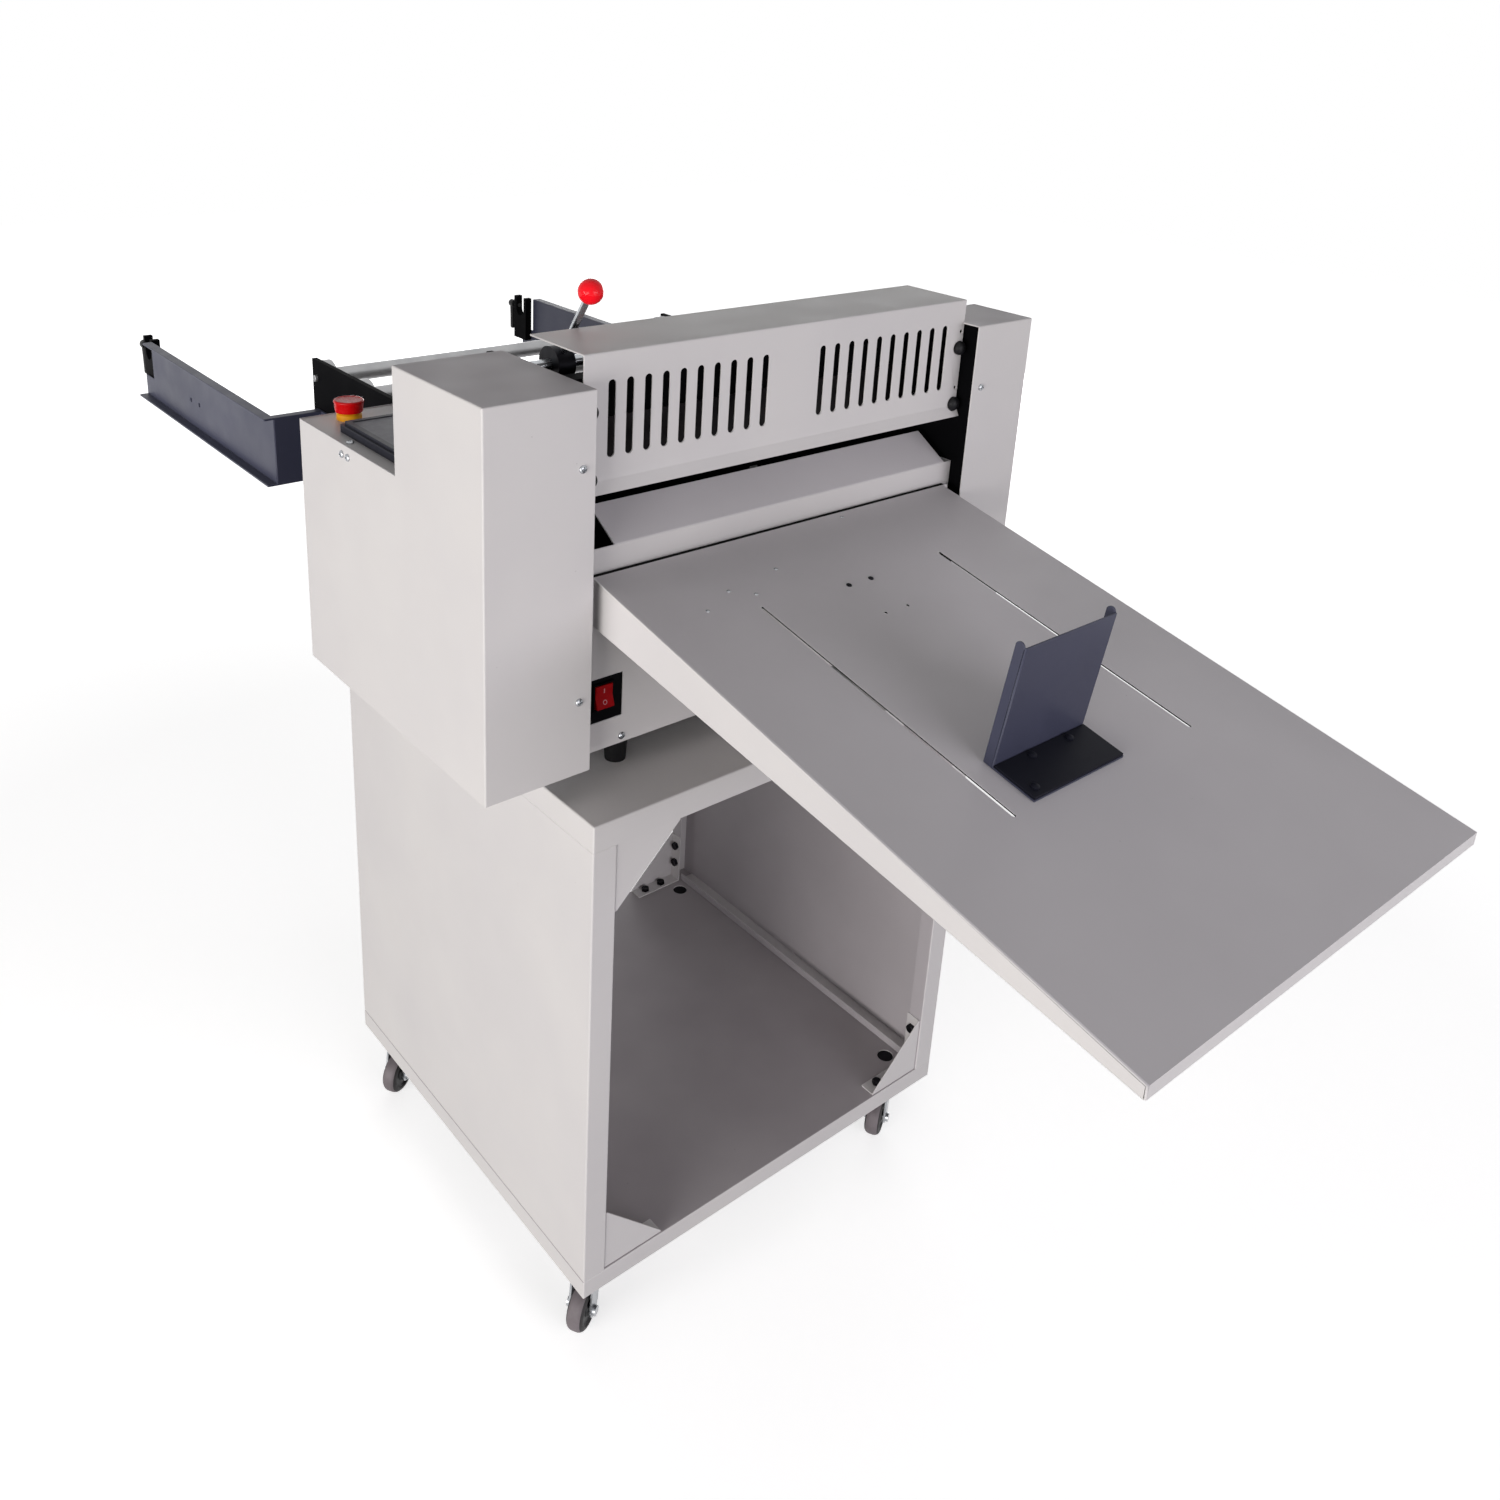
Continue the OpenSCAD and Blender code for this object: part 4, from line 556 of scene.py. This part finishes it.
# %% Surfaces from arrays
TURNS = 48
ANGLES = np.arange(TURNS) * 2 * np.pi / TURNS


def arc(centre, radii, start, end, steps):
    """A round stretch of a profile: centre + radii (cos a, sin a), with a from start to end in degrees."""
    angle = np.radians(np.linspace(start, end, steps))
    return np.stack([centre[0] + radii[0] * np.cos(angle), centre[1] + radii[1] * np.sin(angle)], -1)


def rounded_square(power):
    """How far a ring stands out by angle: (|cos a|^p + |sin a|^p)^(-1/p), a circle at p = 2."""
    return (np.abs(np.cos(ANGLES)) ** power + np.abs(np.sin(ANGLES)) ** power) ** (-1 / power)


def turned(profile, ring=1.0):
    """A profile of (radius, height) turned about Z: (k r cos a, k r sin a, h), with k from ring."""
    radius, height = np.vstack(profile).T[..., None]
    spread = radius * ring * np.ones(TURNS)
    return np.stack([spread * np.cos(ANGLES), spread * np.sin(ANGLES), height * np.ones(TURNS)], -1)


def place(shape, spot, axis):
    """Turns a shape's +Z onto an axis and moves its origin to a spot: spot + x s + y (a cross s) + z a."""
    ahead = np.array(axis, float) / np.linalg.norm(axis)
    side = np.cross(np.eye(3)[np.argmin(np.abs(ahead))], ahead)
    side /= np.linalg.norm(side)
    return np.array(spot) + shape @ np.stack([side, np.cross(ahead, side), ahead])


def quads_over(rows, columns, round_rows):
    """Corner numbers of the quads of a grid whose columns close on themselves, as its rows may."""
    u = np.arange(rows if round_rows else rows - 1)[:, None]
    v = np.arange(columns)[None, :]
    u_next, v_next = (u + 1) % rows, (v + 1) % columns
    corners = u * columns + v, u * columns + v_next, u_next * columns + v_next, u_next * columns + v
    return np.stack(corners, -1).reshape(-1, 4)


def smooth_piece(name, grids, material, round_rows=False):
    """One piece of closed grids in millimetres: poles merged, faces turned outwards, rims kept sharp."""
    first = np.cumsum([0] + [grid.shape[0] * grid.shape[1] for grid in grids])
    points = np.concatenate([grid.reshape(-1, 3) for grid in grids]) * MM
    quads = np.concatenate([quads_over(*g.shape[:2], round_rows) + n for g, n in zip(grids, first)])
    mesh = bpy.data.meshes.new(name)
    mesh.from_pydata(points.tolist(), [], quads.tolist())
    shell = bmesh.new()
    shell.from_mesh(mesh)
    bmesh.ops.remove_doubles(shell, verts=shell.verts, dist=WELD_MM * MM)
    bmesh.ops.recalc_face_normals(shell, faces=shell.faces)
    shell.to_mesh(mesh)
    shell.free()
    mesh.shade_smooth()
    mesh.set_sharp_from_angle(angle=SHARP)
    piece = bpy.data.objects.new(name, mesh)
    bpy.context.scene.collection.objects.link(piece)
    dress(piece, material)
    return piece


print("turned surfaces:", TURNS, "steps a turn")

# %% Where the small pieces sit


def box_mm(node):
    """Lowest corner, highest corner and middle of a node, in millimetres."""
    low, high = (np.array(corner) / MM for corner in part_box(node))
    return low, high, (low + high) / 2


def solids_of(node):
    """Lowest and highest corner, in millimetres, of each separate solid in a node.

    Corners are welded, then each triangle hands the lowest label among its corners to all three,
    until no label changes. Every solid then has one label."""
    points, triangles = triangles_of(node)
    spots, welded = np.unique((points / MM).round(2), axis=0, return_inverse=True)
    triangles = welded.reshape(-1)[triangles]
    label, passed = None, np.arange(len(spots))
    while label is None or (passed != label).any():
        label = passed.copy()
        np.minimum.at(passed, triangles, label[triangles].min(1)[:, None])
    return [(spots[label == one].min(0), spots[label == one].max(0)) for one in np.unique(label)]


def head_axis(low, high, inside):
    """The axis of a flat round head: along its shortest side, away from a point inside."""
    shortest = np.eye(3)[np.argmin(high - low)]
    return shortest * np.sign((low + high) / 2 - inside)


def heads(node, shape, inside, outwards=1):
    """A copy of a head shape on the seat of every solid of a node."""
    placed = []
    for low, high in solids_of(node):
        axis = outwards * head_axis(low, high, inside)
        placed.append(place(shape, (low + high - axis * (high - low)) / 2, axis))
    return placed


print("screws:", len(solids_of("panel_screws")), "bolts:", len(solids_of("bracket_bolts")))

# %% [markdown]
# ## Screws and bolts
# The covers are held by bright pan head screws with a cross recess, the stand's brackets by blackened
# hexagon bolts. At this distance a screw is a bright dot with a dark middle, so the recess is really
# sunk, and a bolt is known by its chamfered crown.

# %% Screws and bolts
SCREW_D, SCREW_H = 9.5, 3.0
DOME_DROP, BLADE_SHARE, CROSS_SHARE, CROSS_DEPTH = 0.6, 0.1, 0.3, 0.6
HEAD_RINGS = 24
BOLT_ACROSS, BOLT_H = 13.0, 6.0
CROWN_SHARE, DISH_SHARE, DISH_DEPTH = 0.93, 0.85, 0.4
CHAMFER = math.radians(30)
MACHINE_MIDDLE = np.array([0.0, 0.0, 1000.0])
STAND_MIDDLE = np.array([0.0, 0.0, 450.0])


def within(distance, limit, soft_step=0.3):
    """1 inside a limit and 0 outside it, with a soft step."""
    return np.clip((limit - np.abs(distance)) / soft_step + 0.5, 0, 1)


def pan_head(diameter, height):
    """A domed head of height h (1 - 0.6 (r/R)^4), sunk by a cross where x or y is within a blade's width."""
    share = np.linspace(0, 1, HEAD_RINGS)
    top = turned([np.stack([share * diameter / 2, height * (1 - DOME_DROP * share ** 4)], -1)])
    x, y = top[..., 0], top[..., 1]
    blade, reach = BLADE_SHARE * diameter, CROSS_SHARE * diameter
    cross = np.maximum(within(x, blade) * within(y, reach), within(y, blade) * within(x, reach))
    top[..., 2] -= CROSS_DEPTH * height * cross
    return np.concatenate([top, turned([(diameter / 2, 0), (0, 0)])])


def hexagon_head(across, height):
    """A hexagon of radius (across / 2) / cos a, whose corners a 30 degree cone takes off below the crown."""
    flat = across / 2
    corner = flat / np.cos((ANGLES + np.pi / 6) % (np.pi / 3) - np.pi / 6)
    crown, dish_z = CROWN_SHARE * flat, height - DISH_DEPTH
    shoulder = height - (corner - crown) * math.tan(CHAMFER)
    even = np.ones(TURNS)
    radius = np.stack([0 * even, corner, corner, crown * even, DISH_SHARE * crown * even, 0 * even])
    up = np.stack([0 * even, 0 * even, shoulder, height * even, dish_z * even, dish_z * even])
    return np.stack([radius * np.cos(ANGLES), radius * np.sin(ANGLES), up], -1)


screw_heads = heads("panel_screws", pan_head(SCREW_D, SCREW_H), MACHINE_MIDDLE)
screws = smooth_piece("cover_screws", screw_heads, zinc)
join(screws, "panel_screws")
bolt_heads = heads("bracket_bolts", hexagon_head(BOLT_ACROSS, BOLT_H), STAND_MIDDLE, outwards=-1)
bolts = smooth_piece("bracket_bolt_heads", bolt_heads, black_oxide)
join(bolts, "bracket_bolts")
print("screws and bolts:", len(screws.data.polygons) + len(bolts.data.polygons), "faces")

# %% [markdown]
# ## Knobs, ball and stop button
# The guard is held by four black half balls on studs. The pressure lever ends in a glossy ball with a
# small flat where the rod enters. The stop button's skirt sleeves over its collar and flares to a rolled
# rim.

# %% Guard knobs
KNOB_HEAD, KNOB_SKIRT, KNOB_EDGE = 10.0, 0.28, 0.6
KNOB_STUD_R = 2.5


def half_ball(radius, height, stud_r, stud_l):
    """A stud, then a short skirt, then a quarter ellipse over it."""
    skirt = KNOB_SKIRT * height
    dome = arc((0, skirt), (radius, height - skirt), 0, 90, steps=14)
    foot = [(0, -stud_l), (stud_r, -stud_l), (stud_r, 0), (radius - KNOB_EDGE, 0), (radius, KNOB_EDGE)]
    return turned([foot, dome])


def knob_places():
    """Each knob's head, from its front back to the guard's face, with the stud behind it."""
    for low, high in solids_of("guard_knobs"):
        spot = [(low[0] + high[0]) / 2, low[1] + KNOB_HEAD, (low[2] + high[2]) / 2]
        stud = high[1] - low[1] - KNOB_HEAD
        yield place(half_ball((high[0] - low[0]) / 2, KNOB_HEAD, KNOB_STUD_R, stud), spot, (0, -1, 0))


knobs = smooth_piece("guard_half_balls", list(knob_places()), black_nylon)
join(knobs, "guard_knobs")
print("knobs:", len(knobs.data.polygons), "faces")

# %% Lever ball
BALL_FLAT = -72
low, high, ball_middle = box_mm("lever_ball")
ball_r = (high[2] - low[2]) / 2
rod_way = ball_middle - box_mm("lever_hub")[2]
globe = arc((0, 0), (ball_r, ball_r), BALL_FLAT, 90, steps=40)
ball_grid = place(turned([(0, globe[0, 1]), globe]), ball_middle, rod_way)
ball = smooth_piece("lever_ball_smooth", [ball_grid], red_gloss)
join(ball, "lever_ball")
print("ball:", round(2 * ball_r, 1), "mm")

# %% Stop button
STEM_R, SKIRT_R, SKIRT_WALL, HOLLOW_H = 7.0, 17.2, 0.9, 6.0
COLLAR_GAP, CROWN_H, CROWN_DISH = 1.0, 15.5, 0.9
FLARE_R, FLARE_H = 0.5, 4.0
NECK_IN, NECK_DOWN = 0.7, 4.5
RIM_ROUND, GROOVE_ROUND, GROOVE_IN = (2.4, 2.2), (1.4, 0.7), 4.2
low, high, middle = box_mm("stop_button")
rim_r, hollow_r = (high[0] - low[0]) / 2, SKIRT_R - SKIRT_WALL
skirt_z = box_mm("stop_collar")[1][2] + COLLAR_GAP
hollow_z, crown_z = skirt_z + HOLLOW_H, skirt_z + CROWN_H
mushroom = [
    (0, low[2]), (STEM_R, low[2]), (STEM_R, hollow_z), (hollow_r, hollow_z),
    (hollow_r, skirt_z), (SKIRT_R, skirt_z), (SKIRT_R + FLARE_R, skirt_z + FLARE_H),
    (rim_r - NECK_IN, crown_z - NECK_DOWN),
    arc((rim_r - RIM_ROUND[0], crown_z - RIM_ROUND[1]), RIM_ROUND, -20, 90, steps=9),
    arc((rim_r - GROOVE_IN, crown_z), GROOVE_ROUND, 0, -90, steps=5),
    (0, crown_z - CROWN_DISH),
]
stop_head = smooth_piece("stop_mushroom", [turned(mushroom) + [middle[0], middle[1], 0]], red_button)
join(stop_head, "stop_button")
print("stop button: rim", round(2 * rim_r, 1), "mm")

# %% [markdown]
# ## Caster wheels
# Each wheel is a dark moulded core with a hub and a thin web, and a tyre moulded on it, whose rounded
# tread is grey with dust. Both are closed sections carried round the axle, whose place and direction the
# joint gives.

# %% Caster wheels
WHEEL_HALF = 12.0
TREAD_H, TREAD_W, DUST_H = 7.5, 9.0, 1.8
TYRE_INNER, TYRE_LIP = 21.8, 1.0
AXLE_R, HUB_R, HUB_EDGE, HUB_DRAFT = 4.1, 10.5, 0.8, 1.0
WEB_SET = 3.0
CORE_OUTER, CORE_FOOT, CORE_EDGE, CORE_SET = 22.2, 3.0, 1.5, 1.0
CORNERS = ("front_left", "front_right", "rear_left", "rear_right")
joint_of = {joint["name"]: joint for joint in frame["joints"]}
wheel_r = box_mm("caster_wheel_front_left")[1][2] / 2
tyre_section = [
    arc((wheel_r - TREAD_H, WHEEL_HALF - TREAD_W), (TREAD_H, TREAD_W), 0, 90, steps=9),
    (TYRE_INNER + TYRE_LIP, WHEEL_HALF), (TYRE_INNER, WHEEL_HALF - TYRE_LIP),
    (TYRE_INNER, TYRE_LIP - WHEEL_HALF), (TYRE_INNER + TYRE_LIP, -WHEEL_HALF),
    arc((wheel_r - TREAD_H, TREAD_W - WHEEL_HALF), (TREAD_H, TREAD_W), -90, 0, steps=9),
]
half_core = np.array([
    (AXLE_R, WHEEL_HALF), (HUB_R - HUB_EDGE, WHEEL_HALF), (HUB_R, WHEEL_HALF - HUB_EDGE),
    (HUB_R + HUB_DRAFT, WHEEL_HALF - WEB_SET), (CORE_OUTER - CORE_FOOT, WHEEL_HALF - WEB_SET),
    (CORE_OUTER - CORE_EDGE, WHEEL_HALF - CORE_SET), (CORE_OUTER, WHEEL_HALF - CORE_EDGE),
])
core_section = [half_core, half_core[::-1] * [1, -1]]
for corner in CORNERS:
    roll, node = joint_of["roll_" + corner], "caster_wheel_" + corner
    axle = np.array(roll["pos_m"]) / MM
    tyre_grid = place(turned(tyre_section), axle, roll["axis"])
    tyre = smooth_piece("tyre_" + corner, [tyre_grid], tyre_rubber, True)
    core_grid = place(turned(core_section), axle, roll["axis"])
    core = smooth_piece("wheel_core_" + corner, [core_grid], wheel_plastic, True)
    join(tyre, node)
    reach = np.linalg.norm(np.cross(face_values(tyre, "center") / MM - axle, roll["axis"]), axis=1)
    second_coat(tyre, tread_rubber, reach > wheel_r - DUST_H)
    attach(core, roll["child"])
print("wheels:", len(CORNERS), "of", round(2 * wheel_r), "mm")

# %% [markdown]
# ## Marks on the rocker
# The rocker has the two marks found on any mains switch, a stroke above and a ring below, printed on its
# two slanting faces. Each is a thin raised film laid on its face, so that it stays with the rocker when
# it tips.

# %% Rocker marks
ROCKER_REST = math.radians(-8.0)
ROCKER_HALF, ROCKER_FRONT, ROCKER_HOLLOW = 14.5, 9.0, 2.5
FILM, STROKE_POWER = 0.12, 8
STROKE_HALF_W, STROKE_HALF_H = 0.7, 3.0
RING_INNER, RING_OUTER = 2.0, 3.0


def on_rocker(shape, up):
    """Lays a flat shape on the rocker's upper (1) or lower (-1) face, and tips it as the rocker rests."""
    rise = np.array([0.0, -up * ROCKER_HOLLOW, ROCKER_HALF])
    rise /= np.linalg.norm(rise)
    across = np.array([1.0, 0.0, 0.0])
    middle = np.array([0.0, ROCKER_HOLLOW / 2 - ROCKER_FRONT, up * ROCKER_HALF / 2])
    flat = middle + shape @ np.stack([across, rise, np.cross(across, rise)])
    turn = np.array(Matrix.Rotation(ROCKER_REST, 3, "X"))
    return np.array(joint_of["rocker_tilt"]["pos_m"]) / MM + flat @ turn.T


block = turned([(0, -FILM), (1, -FILM), (1, FILM), (0, FILM)], rounded_square(STROKE_POWER))
stroke = block * [STROKE_HALF_W, STROKE_HALF_H, 1.0]
hoop = turned([(RING_INNER, -FILM), (RING_OUTER, -FILM), (RING_OUTER, FILM), (RING_INNER, FILM)])
marks = [
    smooth_piece("rocker_stroke", [on_rocker(stroke, 1)], white_ink),
    smooth_piece("rocker_ring", [on_rocker(hoop, -1)], white_ink, True),
]
for mark in marks:
    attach(mark, "rocker")
print("rocker marks:", len(marks))

# %% [markdown]
# ## Clamp levers
# Each roll arm ends in a clamp tightened by a small moulded lever: a round head with a screw in its
# middle, and a handle with a squarish section that tapers to a rounded end.

# %% Clamp levers
LEVER_STUD_R, LEVER_HEAD_H, LEVER_EDGE, LEVER_ROUND = 4.0, 15.0, 1.0, 3.0
RECESS_TOP_R, RECESS_R, RECESS_H = 3.4, 3.0, 1.6
ROOT_R, SWELL_R, WAIST_R, TIP_R = 5.2, 5.4, 4.9, 4.7
SWELL_DOWN, WAIST_SHARE, TIP_UP = 8.0, 0.45, 4.0
TIP_FLAT, TIP_ROUND, HANDLE_POWER = 2.0, 2.6, 3


def lever_head(radius, stud):
    """A stud, a round head with a softened upper edge, and a shallow recess for its screw."""
    floor_z = LEVER_HEAD_H - RECESS_H
    return turned([
        (0, -stud), (LEVER_STUD_R, -stud), (LEVER_STUD_R, 0), (radius - LEVER_EDGE, 0), (radius, LEVER_EDGE),
        arc((radius - LEVER_ROUND, LEVER_HEAD_H - LEVER_ROUND), (LEVER_ROUND, LEVER_ROUND), 0, 90, steps=6),
        (RECESS_TOP_R, LEVER_HEAD_H), (RECESS_R, floor_z), (0, floor_z),
    ])


def lever_handle(length):
    """A squarish handle that swells below its root, narrows to a waist and ends in a rounded tip."""
    return turned([
        (0, 0), (ROOT_R, 0), (SWELL_R, SWELL_DOWN),
        (WAIST_R, WAIST_SHARE * length), (TIP_R, length - TIP_UP),
        arc((TIP_FLAT, length - TIP_ROUND), (TIP_ROUND, TIP_ROUND), 0, 90, steps=5), (0, length),
    ], rounded_square(HANDLE_POWER))


for side in ("left", "right"):
    node = "clamp_lever_" + side
    low, high, middle = box_mm(node)
    head_r = (high[0] - low[0]) / 2
    seat = [middle[0], high[1] - LEVER_HEAD_H, high[2] - head_r]
    root = np.add(seat, [0, LEVER_HEAD_H / 2, 0])
    hang = seat[2] - low[2]
    head = place(lever_head(head_r, high[1] - low[1] - LEVER_HEAD_H), seat, (0, 1, 0))
    handle = place(lever_handle(hang), root, (0, 0, -1))
    join(smooth_piece(node + "_moulded", [head, handle], black_nylon), node)
print("clamp levers: handles", round(hang), "mm long")

# %% [markdown]
# ## Painted shade strip, tray screws and weld marks
# The tray hangs a finger's width off the front panel, and a black strip fills that gap along its top and
# down its two sides: painted shade for the dark gap. The strip is a rectangle carried along the tray's edge
# with mitred corners.
# Two blackened screws sit in the tray's upper holes. Welds on the tray's underside leave a few low pips
# near its head, and sheets have worn them bright.

# %% Tray gap: painted shade strip
EAR_REAR_Y, EAR_H, PANEL_Y = -229.0, 60.0, -220.0
STRIP_W, STRIP_CLEAR, STRIP_IN, STRIP_DOWN = 8.0, 0.1, 1.0, 1.5
tray_low, tray_high, tray_middle = box_mm("tray")


def mitred_strip(left, right, bottom, top, width, rear, front):
    """A strip round three sides: each corner's outer point, and its inner point width further in."""
    outer = np.array([(left, bottom), (left, top), (right, top), (right, bottom)])
    inner = outer + width * np.array([(1, 0), (1, -1), (-1, -1), (-1, 0)])
    section = np.stack([outer, outer, inner, inner], 1)
    depth = np.broadcast_to(np.array([rear, front, front, rear])[None, :, None], (4, 4, 1))
    rows = np.concatenate([section[..., :1], depth, section[..., 1:]], -1)
    caps = np.broadcast_to(rows[[0, -1]].mean(1, keepdims=True), (2, 4, 3))
    return np.concatenate([caps[:1], rows, caps[1:]])


strip = mitred_strip(
    tray_low[0] + STRIP_IN, tray_high[0] - STRIP_IN, tray_high[2] - EAR_H + STRIP_IN, tray_high[2] - STRIP_DOWN,
    STRIP_W, PANEL_Y - STRIP_CLEAR, EAR_REAR_Y + STRIP_CLEAR,
)
# A black strip in the gap behind the tray: painted shade
shade_strip_piece = smooth_piece("tray_gap_shade_strip", [strip], gap_shade_fill)
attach(shade_strip_piece, body_of["tray"])
print("tray seal:", round(tray_high[0] - tray_low[0]), "mm wide")

# %% Tray screws and weld pips
TRAY_SLOPE = math.radians(11.5)
TRAY_SHEET = 2.0
TRAY_SCREWS_DOWN, TRAY_SCREWS_GAP = 134.0, 37.0
TRAY_SCREW_D, TRAY_SCREW_H = 7.0, 1.6
PIP_R, PIP_H, PIP_SINK = 2.6, 0.7, 0.5
PIP_PLACES = ((-213, 106), (-165, 84), (-138, 102), (-80, 70), (88, 9))
slope_down = np.array([0, -math.cos(TRAY_SLOPE), -math.sin(TRAY_SLOPE)])
tray_up = np.array([0, -math.sin(TRAY_SLOPE), math.cos(TRAY_SLOPE)])
tray_edge = np.array([tray_middle[0], EAR_REAR_Y - TRAY_SHEET, tray_high[2]])


def on_tray(shape, across, down):
    """Sets a shape on the tray's upper face, so far across from its middle and down from its rear edge."""
    return place(shape, tray_edge + down * slope_down + [across, 0, 0], tray_up)


tray_head = pan_head(TRAY_SCREW_D, TRAY_SCREW_H)
tray_heads = [on_tray(tray_head, side * TRAY_SCREWS_GAP / 2, TRAY_SCREWS_DOWN) for side in (-1, 1)]
tray_screws = smooth_piece("tray_screws", tray_heads, black_oxide)
pip = turned([(0, -PIP_SINK), (PIP_R, -PIP_SINK), arc((0, 0), (PIP_R, PIP_H), 0, 90, steps=8)])
weld_pips = smooth_piece("tray_weld_pips", [on_tray(pip, *spot) for spot in PIP_PLACES], zinc)
for piece, slot in ((tray_screws, "black_oxide"), (weld_pips, "zinc_plate")):
    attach(piece, body_of["tray"])
print("tray screws:", len(tray_heads), "weld pips:", len(PIP_PLACES))

# %% [markdown]
# ## Floor, background and light
# The page is white, so the floor and the world are white where the camera, a reflection or glass looks
# at them, and a quiet grey where they light the machine. Daylight came from the left and the front, low
# enough to leave the upward faces darker than the upright ones. Two large soft lamps do the same, and a
# third behind the machine keeps its far sides readable.

# %% World
FILL = 0.18
LOOKS = ("Is Camera Ray", "Is Glossy Ray", "Is Transmission Ray")


def seen_directly(tree):
    """1 where the camera, a reflection or glass looks, and 0 where light is gathered."""
    path = add(tree, "ShaderNodeLightPath")
    share = path.outputs[LOOKS[0]]
    for look in LOOKS[1:]:
        share = add(tree, "ShaderNodeMath", {0: share, 1: path.outputs[look]}, operation="MAXIMUM")
    return share


world = bpy.data.worlds.new("white_page")
bpy.context.scene.world = world
world.use_nodes = True
sky = world.node_tree
sky.nodes.clear()
strength = add(sky, "ShaderNodeMapRange", {"Value": seen_directly(sky), "To Min": FILL, "To Max": 1.0})
page = add(sky, "ShaderNodeBackground", {"Color": linear("#FFFFFF"), "Strength": strength})
add(sky, "ShaderNodeOutputWorld", {"Surface": page})
print("world: white page, fill", FILL)

# %% Floor
FLOOR_HALF = 9.0
FLOOR_GLOW = 0.60
FADE_NEAR, FADE_FAR = 1.6, 4.5


def white_floor():
    """Pale card that keeps the machine's shadow: lit grey, with a glow that only looks see added to it."""
    material, tree, where = new_material("pale_card")
    looked_at = seen_directly(tree)
    ends = {"Factor": looked_at, MIX_FIRST: linear("#8C8C8C"), MIX_SECOND: linear("#F0F0F0")}
    lit = add(tree, "ShaderNodeMix", ends, data_type="RGBA")
    card = add(tree, "ShaderNodeBsdfPrincipled", {
        "Base Color": lit, "Roughness": 0.9, "Specular IOR Level": 0.0,
    })
    away = add(tree, "ShaderNodeVectorMath", {0: where}, operation="LENGTH")
    near = add(tree, "ShaderNodeMapRange", {
        "Value": away, "From Min": FADE_NEAR, "From Max": FADE_FAR, "To Min": FLOOR_GLOW, "To Max": 1.0,
    })
    strength = add(tree, "ShaderNodeMath", {0: near, 1: looked_at}, operation="MULTIPLY")
    glow = add(tree, "ShaderNodeEmission", {"Color": linear("#FFFFFF"), "Strength": strength})
    both = add(tree, "ShaderNodeAddShader", {0: card, 1: glow})
    add(tree, "ShaderNodeOutputMaterial", {"Surface": both})
    return material


floor_mesh = bpy.data.meshes.new("floor")
floor_corners = FLOOR_HALF * np.array([(-1, -1, 0), (1, -1, 0), (1, 1, 0), (-1, 1, 0)])
floor_mesh.from_pydata(floor_corners.tolist(), [], [(0, 1, 2, 3)])
floor = bpy.data.objects.new("floor", floor_mesh)
bpy.context.scene.collection.objects.link(floor)
dress(floor, white_floor())
print("floor: pale card,", 2 * FLOOR_HALF, "m")

# %% Lamps


def softbox(name, spot, heading, dip, size, watts, tint):
    """A soft rectangular lamp: spot and size in metres, heading and dip in degrees."""
    light = bpy.data.lights.new(name, "AREA")
    light.shape = "RECTANGLE"
    light.size, light.size_y = size
    light.energy = watts
    light.color = linear(tint)[:3]
    lamp = bpy.data.objects.new(name, light)
    lamp.matrix_world = aim(Vector(spot), math.radians(heading), math.radians(dip))
    bpy.context.scene.collection.objects.link(lamp)
    return lamp


lamps = [
    softbox("left_softbox", (-4.4, -1.2, 1.0), heading=75, dip=0,
            size=(4.0, 1.8), watts=172, tint="#FFFCFA"),
    softbox("front_softbox", (0.5, -5.2, 1.4), heading=-4, dip=3,
            size=(4.2, 1.8), watts=106, tint="#FBF8FF"),
    softbox("rear_softbox", (3.6, 3.6, 0.9), heading=225, dip=0,
            size=(4.4, 1.6), watts=105, tint="#FFFFFF"),
]
print("lamps:", ", ".join(lamp.name for lamp in lamps))
